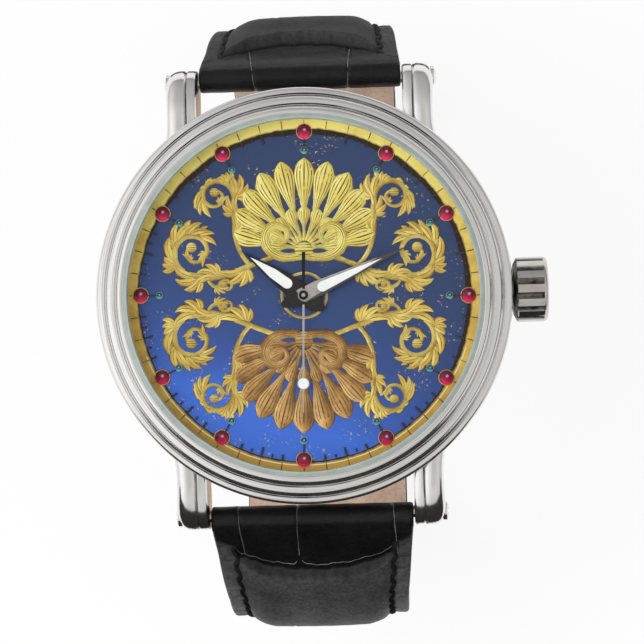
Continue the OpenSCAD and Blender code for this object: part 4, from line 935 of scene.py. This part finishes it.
class Strap:
    """One half of the strap: its path, its widths and the relief pressed into its face. Side is 1 towards
    12 o'clock and -1 towards 6; joints are the places across of the scales' joints, near the bar and further
    out; the first row ends at first, and smile further out in the middle."""

    def __init__(self, path, last_t, side, joints, seed, tapers, first, smile):
        self.path, self.last_t, self.side, self.tapers = path, last_t, side, tapers
        self.first, self.smile, self.joints = first, smile, joints
        self.rows = rows_of(path.length, first, seed)

    def width(self, s):
        w = mix(STRAP_W, END_W, s / TAPER_S)
        left = self.path.length - s
        if self.tapers and left < 6:
            w *= sqrt(max(0.04, 1 - ((6 - left) / 6) ** 2 * 0.93))
        return w

    def inner(self, s):
        return -cad_thick(s, self.last_t) / 2

    def crease(self, x, w):
        """Where the first row of scales ends: further out in the middle, like a smile."""
        wobble = 0.08 * sin(2.1 * x) + 0.05 * sin(5.3 * x + 1)
        return self.first + self.smile * (1 - min(1.0, abs(2 * x / w)) ** 2.3) + wobble

    def drop(self, s):
        """How far the margins lie below the pad."""
        return (-0.04 + 1.09 * smooth((s - 0.2) / 5.3)) * (1 - 0.93 * smooth((s - 24) / 16))

    def joint_x(self, joint, s):
        """A joint between scales leans a little from the bar outwards."""
        if isinstance(joint, tuple):
            return mix(joint[0], joint[1], (s + 3) / 7)
        return joint + 0.12 * sin(s * 1.7 + joint)

    def relief(self, s, x, w):
        middle = max(0.0, 1 - (abs(x) / (w / 2)) ** 4)
        crease = self.crease(x, w)
        value = -0.3 * bump_at(s - crease + 0.5, 0.42) + 0.07 * bump_at(s - crease + 1.1, 0.16) * middle
        value += 0.09 * bump_at(s - crease + 0.42, 0.1) * middle
        before = 0.0
        joints = self.joints
        for i, (at, following, lean) in enumerate(self.rows):
            here = crease if i == 0 else at - 0.12 * (1 - (2 * x / w) ** 2) + lean * x / w
            if i:
                value -= 0.13 * bump_at(s - here, 0.24)
                value += 0.07 * bump_at(s - here - 0.75, 0.4) * middle
            if before <= s < here:
                for joint in joints:
                    away = x - self.joint_x(joint, s)
                    strength = 1.0 if i == 0 else 0.45 if i == 1 else 0.9
                    value -= 0.15 * bump_at(away, 0.17) * smooth((here - s) / 0.6) * strength
                    value += 0.035 * bump_at(abs(away) - 0.42, 0.2) * strength
            before = here
            joints = following
        edge = w / 2 - abs(x)
        if edge < 1.8:
            fold = ((s * 0.62 + 0.25 * sin(s) + (1.3 if x > 0 else 0)) % 1.3) - 0.65
            value -= 0.15 * bump_at(fold, 0.16) * smooth((1.8 - edge) / 0.5)
        value += 0.016 * sin(s * 2.3 + x * 1.1) * sin(x * 1.9 - s * 0.7)
        return value

    def top(self, s, x):
        """Height of the outer face over the path, at s along and x across."""
        w = self.width(s)
        edge = max(0.0, w / 2 - abs(x))
        m = min(1.0, w / 15)
        drop = self.drop(s)
        shoulder = 1 - (1 - max(0.0, min(1.0, (edge / m - SEAM) / 3.2))) ** 2.2
        rise = smooth((s - self.crease(x, w) + 0.05) / 0.5) * shoulder
        rise *= drop - 0.05 + 0.4 * (1 - (2 * x / w) ** 2) * smooth((s - 9) / 7) * smooth((26 - s) / 7)
        rise -= 0.16 * bump_at(edge / m - SEAM, 0.42) * smooth((s - 2) / 1.5)
        rise -= 0.32 * max(0.0, 1 - edge / 0.34) ** 2
        pressed = self.relief(s, x, w) * smooth(edge / 0.6) * smooth((s - 0.8) / 1.2)
        return cad_thick(s, self.last_t) / 2 - drop + rise + pressed

    def point(self, s, x, height):
        p = self.path.at(s) + self.path.normal(s) * height
        return (x, p.x, p.y)

    def stations(self):
        """Places along the strap: close together where the crease and the first scales are."""
        s, places = 0.0, []
        while s < self.path.length:
            places.append(s)
            s += 0.13 if s < 9 else 0.3 if s < 30 else 0.55
        return places + [self.path.length]

    def leather(self, mesh):
        columns = 110
        places, verts, uvs = self.stations(), [], []
        for s in places:
            w = self.width(s)
            lined = s >= LINING_FROM and (self.tapers or s <= self.path.length - 8)
            under = self.inner(s) + (LINING_T if lined else 0.05)
            ring = []
            for j in range(columns + 1):
                x = w / 2 * sin(pi / 2 * (2 * j / columns - 1) * 0.8) / sin(pi / 2 * 0.8)
                ring.append((x, self.top(s, x)))
            ring += [(w / 2, under + 0.12), (w / 2 - 0.12, under), (0.12 - w / 2, under), (-w / 2, under + 0.12)]
            verts += [self.point(s, x, h) for x, h in ring]
            for x, _ in ring:
                margin = 1.8 if w / 2 - abs(x) < 2 and s > 1.6 else 0
                uvs.append((s - self.crease(x, w) + margin, x))
        mesh.tube(verts, len(places), uvs)

    def roll(self, mesh, y, z, r, w, bore, grooves):
        """The leather turned round a bar: a tube with eased ends, the scale joints running over it."""
        around, along = 56, 150
        outline = [(-w / 2, bore), (-w / 2, r - 0.25), (-w / 2 + 0.08, r - 0.08)]
        outline += [((-w / 2 + 0.25) + (w - 0.5) * i / along, None) for i in range(along + 1)]
        outline += [(w / 2 - 0.08, r - 0.08), (w / 2, r - 0.25), (w / 2, bore)]
        verts = []
        for x, radius in outline:
            for a in turns(around):
                size = radius
                if radius is None:
                    outward = a if self.side > 0 else pi - a
                    s = -r * (outward if outward < 1.5 * pi else outward - 2 * pi) + 1.1
                    size = r - 0.12 * sum(bump_at(x - self.joint_x(g, s), 0.15) for g in grooves)
                    size += 0.012 * sin(x * 2.1 + 2 * a)
                verts.append((x, *polar(size, a, y, z)))
        mesh.add(verts, grid_faces(len(outline), around, True, True), [(-3.0, v[0]) for v in verts])

    def joint_lines(self, mesh, last, half):
        """Fine pale lines along the joints over the roll and the first row."""
        for joint in self.joints:
            strip = []
            for k in range(18):
                a = radians(190 - 6 * k)
                s = -END_R * a + 1.1
                x = self.joint_x(joint, s)
                size = END_R - 0.085
                y, z = polar(size, a, END_Y, BAR_Z)
                strip.append((x, self.side * y, z))
            s = 0.1
            while s < last:
                x = self.joint_x(joint, s)
                strip.append(self.point(s, x, self.top(s, x) + 0.075))
                s += 0.2
            ridge = ((-half, -0.02), (0, 0.015), (half, -0.02))
            verts = [(x + d, y, z + h) for x, y, z in strip for d, h in ridge]
            mesh.tube(verts, len(strip))

    def rims(self, mesh, half):
        """The pale rims of the first row's scales, with rounded corners at the joints."""
        ends = sorted([-8.9, 8.9] + [self.joint_x(joint, 4.0) for joint in self.joints if abs(joint[0]) < 7])
        for left, right in zip(ends, ends[1:]):
            strip = []
            for i in range(41):
                x = mix(left + 0.25, right - 0.25, i / 40)
                corner = max(0.0, 1 - min(x - left, right - x) / 1.1) ** 2
                s = self.crease(x, self.width(4)) - 1.12 - 0.9 * corner
                for d, h in ((-half, 0), (0, 0.035), (half, 0)):
                    strip.append(self.point(s + d, x, self.top(s + d, x) + h))
            mesh.tube(strip, 41)

    def stitches(self, mesh, first, last):
        """Thick waxed thread along both edges, zig-zagging, each stitch sunk at its ends."""
        pitch, length, r = 1.12, 1.18, 0.25
        for side in (-1, 1):
            s, turn = first, 1
            while s < last:
                rings = []
                turn = -turn
                for i in range(7):
                    t = i / 6
                    here = s + length * t
                    w = self.width(here)
                    m = min(1.0, w / 15)
                    x = side * (w / 2 - SEAM * m) + turn * 0.24 * (t - 0.5) * 2
                    lift = 0.02 + 0.17 * sin(pi * t)
                    centre = self.path.at(here) + self.path.normal(here) * (self.top(here, x) + lift - 0.08)
                    out = self.path.normal(here)
                    fat = r * (0.4 + 0.6 * sin(pi * (0.08 + 0.84 * t)))
                    for a in turns(8):
                        offset = out * sin(a) * fat
                        rings.append((x + fat * 1.2 * cos(a), centre.x + offset.x, centre.y + offset.y))
                mesh.tube(rings, 7)
                s += pitch

    def lining(self, mesh, first, last):
        ds, columns = 0.5, 24
        count = int((last - first) / ds)
        verts = []
        for i in range(count + 1):
            s = mix(first, last, i / count)
            w = self.width(s) - 0.3
            low = self.inner(s)
            ring = []
            for j in range(columns + 1):
                x = w / 2 * (2 * j / columns - 1)
                edge = max(0.0, 1 - (w / 2 - abs(x)) / 0.3)
                crease = 0.03 * sin(s * 0.9 + 0.4 * x) * sin(s * 0.31 - x * 0.2)
                ring.append((x, low + 0.16 * edge ** 2 + crease * (1 - edge)))
            ring += [(w / 2, low + LINING_T - 0.03), (-w / 2, low + LINING_T - 0.03)]
            verts += [self.point(s, x, h) for x, h in ring]
        mesh.tube(verts, count + 1)


def punch(piece, cutters):
    """Cuts each cutter's shape out of piece, then drops the cutters."""
    for cutter in cutters:
        modifier = piece.modifiers.new("hole", "BOOLEAN")
        modifier.operation = "DIFFERENCE"
        modifier.object = cutter
        modifier.solver = "EXACT"
    bpy.context.view_layer.update()
    cut = bpy.data.meshes.new_from_object(piece.evaluated_get(bpy.context.evaluated_depsgraph_get()))
    piece.modifiers.clear()
    piece.data = cut
    for cutter in cutters:
        bpy.data.objects.remove(cutter)


def post(x0, x1, y0, y1, z0, z1):
    corners = ((x0, y0), (x1, y0), (x1, y1), (x0, y1))
    return mesh_object("cutter", [(x, y, z) for z in (z0, z1) for x, y in corners], BOX)


def drill(y, z0, z1, r):
    bm = bmesh.new()
    bmesh.ops.create_cone(bm, cap_ends=True, segments=32, radius1=r * MM, radius2=r * MM, depth=(z1 - z0) * MM,
                          matrix=Matrix.Translation(Vector((0, y, (z0 + z1) / 2)) * MM))
    mesh = bpy.data.meshes.new("cutter")
    bm.to_mesh(mesh)
    bm.free()
    return add_object("cutter", mesh)


def holes():
    """The tongue's hole, stretched by use, and three spare ones."""
    return [post(-1.0, 1.0, -2.35, 1.45, -43, -36)] + [
        drill(-0.75 + 6.5 * k, -43, -36, 0.95) for k in (-2, -1, 1)]


def sew(name, material, slot, flat, *parts):
    """A piece of the strap. Each part is a function that adds to a mesh, and what it is told."""
    mesh = Mesh()
    for add, *told in parts:
        add(mesh, *told)
    return mesh.piece(name, [material], slot, flat)


def eyes(mesh):
    """The short half's two loops round the buckle's bar."""
    for low, high in ((-10.0, -1.3), (1.3, 10.0)):
        part = Mesh()
        short.roll(part, 2.0, SHORT_MID, SHORT_T / 2 + 0.03, high - low, 0.72, [])
        mesh.add([(x + (low + high) / 2, y, z) for x, y, z in part.verts], part.faces)


def strap_half(name, half, cuts, lines, sewn, lined, lining_cuts, more=()):
    """Leather, roll, scale joints, stitches and lining; sewn and lined say where those start and end."""
    hide = sew(name + "_strap_leather", BLACK_LEATHER, "strap_leather", 60, (half.leather,))
    punch(hide, cuts)
    sew(name + "_strap_roll", BLACK_LEATHER, "strap_leather", 50,
        (half.roll, half.side * END_Y, BAR_Z, END_R, STRAP_W, 0.75, half.joints))
    for title, part in more:
        sew(name + title, BLACK_LEATHER, "strap_leather", 50, (part,))
    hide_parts(name + "_strap")
    sew(name + "_strap_joints", JOINT, "strap_leather", 60, *lines)
    sew(name + "_strap_stitches", THREAD, "strap_leather", 80, (half.stitches, *sewn))
    lining = sew(name + "_strap_lining", TAN_LEATHER, "lining_leather", 60, (half.lining, *lined))
    if lining_cuts:
        punch(lining, lining_cuts())
    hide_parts(name + "_lining")


short = Strap(short_path, SHORT_T, 1, [(-4.85, -5.6), (5.15, 5.35)], seed=3, tapers=False, first=1.7, smile=4.7)
long = Strap(long_path, TAIL_T, -1, [(-1.6, -1.7), (8.7, 9.0), (-8.0, -7.6)], seed=11, tapers=True,
             first=3.5, smile=3.7)
strap_half("short", short, [post(-1.3, 1.3, -1.0, 5.2, -42, -34)], [(short.joint_lines, 4.4, 0.05)],
           (2.6, short_path.length - 4), (LINING_FROM, short_path.length - 8.5), None, [("_strap_eyes", eyes)])
strap_half("long", long, holes(), [(long.joint_lines, 5.0, 0.03), (long.rims, 0.035)],
           (2.9, long_path.length - 5), (LINING_FROM, long_path.length - 0.6), holes)


# Keepers

def keeper(name, source, y0, body):
    """A leather band round both halves, with turned edges."""
    half, low, high, thick, wide = 10.75, FLOOR, -34.64, 1.2, 4.6
    centre, r = [], 0.75
    x, z0, z1 = half + thick / 2, low + thick / 2, high - thick / 2
    for cx, cz, a0 in ((x - r, z0 + r, -90), (x - r, z1 - r, 0), (-x + r, z1 - r, 90), (-x + r, z0 + r, 180)):
        centre += [(*polar(r, radians(a), cx, cz), radians(a)) for a in range(a0, a0 + 91, 15)]
    dense = []
    for i, (cx, cz, a) in enumerate(centre):
        dense.append((cx, cz, a))
        nx, nz, _ = centre[(i + 1) % len(centre)]
        gap = hypot(nx - cx, nz - cz)
        for k in range(1, int(gap / 0.6)):
            dense.append((mix(cx, nx, k * 0.6 / gap), mix(cz, nz, k * 0.6 / gap), a))
    section = []
    for sx, sy, a0 in ((1, -1, -90), (1, 1, 0), (-1, 1, 90), (-1, -1, 180)):
        section += arc(sx * (thick / 2 - 0.3), sy * (wide / 2 - 0.3), 0.3, a0, a0 + 90, 3)
    edges = []
    for a, b in zip(section, section[1:] + section[:1]):
        edges.append(a)
        for k in range(1, 6 if hypot(b[0] - a[0], b[1] - a[1]) > 1.5 else 1):
            edges.append((mix(a[0], b[0], k / 6), mix(a[1], b[1], k / 6)))
    verts = []
    for cx, cz, a in dense:
        for out, across in edges:
            size = out - (0.08 * bump_at(abs(across) - wide / 2 + 0.7, 0.16) if out > 0.2 else 0)
            verts.append((cx + size * cos(a), y0 + wide / 2 + across, cz + size * sin(a)))
    faces = grid_faces(len(dense), len(edges), True, True)
    made = place(name, verts, faces, [KEEPER_LEATHER], body, 60)
    fix_normals(made)
    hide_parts(source)


keeper("fixed_keeper_leather", "fixed_keeper", 5.2, "case")
keeper("free_keeper_leather", "free_keeper", 12.2, "keeper")


# Floor, world and lamps

def floor_look():
    """A white sweep that still takes the object's shadow."""
    look = Look("floor")
    look.tree.nodes.remove(look.shader)
    paper = look.node("BsdfDiffuse", {"Color": look.noise(0.003, 2).tones(0.84, 0.86)})
    glow = look.node("Emission", {"Color": (1, 1, 1), "Strength": 1.0})
    camera_ray, glossy_ray, transmission_ray = [
        look.node("LightPath", {}, "Is %s Ray" % kind) for kind in ("Camera", "Glossy", "Transmission")]
    share = camera_ray.most(glossy_ray).most(transmission_ray) * 0.87
    both = look.node("MixShader", {0: share, 1: paper, 2: glow})
    look.put(look.tree.nodes["Material Output"].inputs["Surface"], both)
    return look.material


bm = bmesh.new()
bmesh.ops.create_grid(bm, x_segments=2, y_segments=2, size=1.5)
floor_mesh = bpy.data.meshes.new("floor")
bm.to_mesh(floor_mesh)
bm.free()
floor_mesh.materials.append(floor_look())
floor = add_object("floor", floor_mesh)
floor.location.z = (FLOOR - 0.02) * MM


def lamp(name, place_mm, size_mm, watts):
    """A square soft lamp turned to the watch. Its own mirror image isn't seen in the steel."""
    light = bpy.data.lights.new(name, "AREA")
    light.shape = "RECTANGLE"
    light.size = light.size_y = size_mm * MM
    light.energy = watts
    made = add_object(name, light)
    made.location = Vector(place_mm) * MM
    made.rotation_euler = (-Vector(place_mm)).to_track_quat("-Z", "Y").to_euler()
    made.visible_glossy = False


lamp("key", (-330, 20, 430), 320, 1.6)
lamp("fill", (400, -160, 420), 420, 0.6)

world = bpy.data.worlds.new("studio")
bpy.context.scene.world = world
world.use_nodes = True
sky = Nodes(world.node_tree)
way = sky.node("TexCoord", {}, "Generated")
tent = way.part(2).ramp((0.0, 0.45), (0.25, 0.62), (0.8, 0.78), (0.98, 0.9))
low_down = way.vector("MULTIPLY", (1, 1, 0)).vector("LENGTH", out="Value").spread(0.2, 0.5, kind="SMOOTHSTEP")
leftward = way.part(0).spread(-0.045, -0.165, kind="SMOOTHSTEP")
backward = way.part(1).spread(0.1, 0.5, 1.0, 0.72, "SMOOTHSTEP")
bright_side = way.part(0).spread(-0.6, -0.05, 1.5, 0.88, "SMOOTHSTEP")
walls = sky.blend(1.0, tent, backward * bright_side, "MULTIPLY")
tent = sky.blend(low_down.most(leftward), (0.62, 0.595, 0.565), walls)
seen = sky.node("LightPath", {}, "Is Camera Ray")
sky.put(sky.tree.nodes["Background"].inputs["Color"], sky.blend(seen, tent, (1.0, 1.0, 1.0)))
bpy.context.scene.view_settings.view_transform = "Standard"


# Dark cards beside the case, seen only in the polished steel

def card_look():
    look = Look("card")
    return look.finish(look.noise(0.008).tones((0.02, 0.018, 0.016), (0.03, 0.027, 0.024)), 0.9)


def card(name, points):
    """An upright strip through points in plan, each with its low and high edge."""
    verts = [(x, y, z) for x, y, low, high in points for z in (low, high)]
    faces = [[2 * i, 2 * i + 2, 2 * i + 3, 2 * i + 1] for i in range(len(points) - 1)]
    made = mesh_object(name, verts, faces, [card_look()])
    made.visible_camera = made.visible_diffuse = made.visible_shadow = made.visible_transmission = False


CARD_R = 46
card("dark_card", [(*polar(CARD_R, radians(a)), -24 + 36 * smooth((abs(a - 270) - 30) / 26), 24)
                   for a in range(212, 329, 4)])
card("far_card", [(*polar(CARD_R, radians(a)), -36, -15) for a in range(56, 125, 4)])
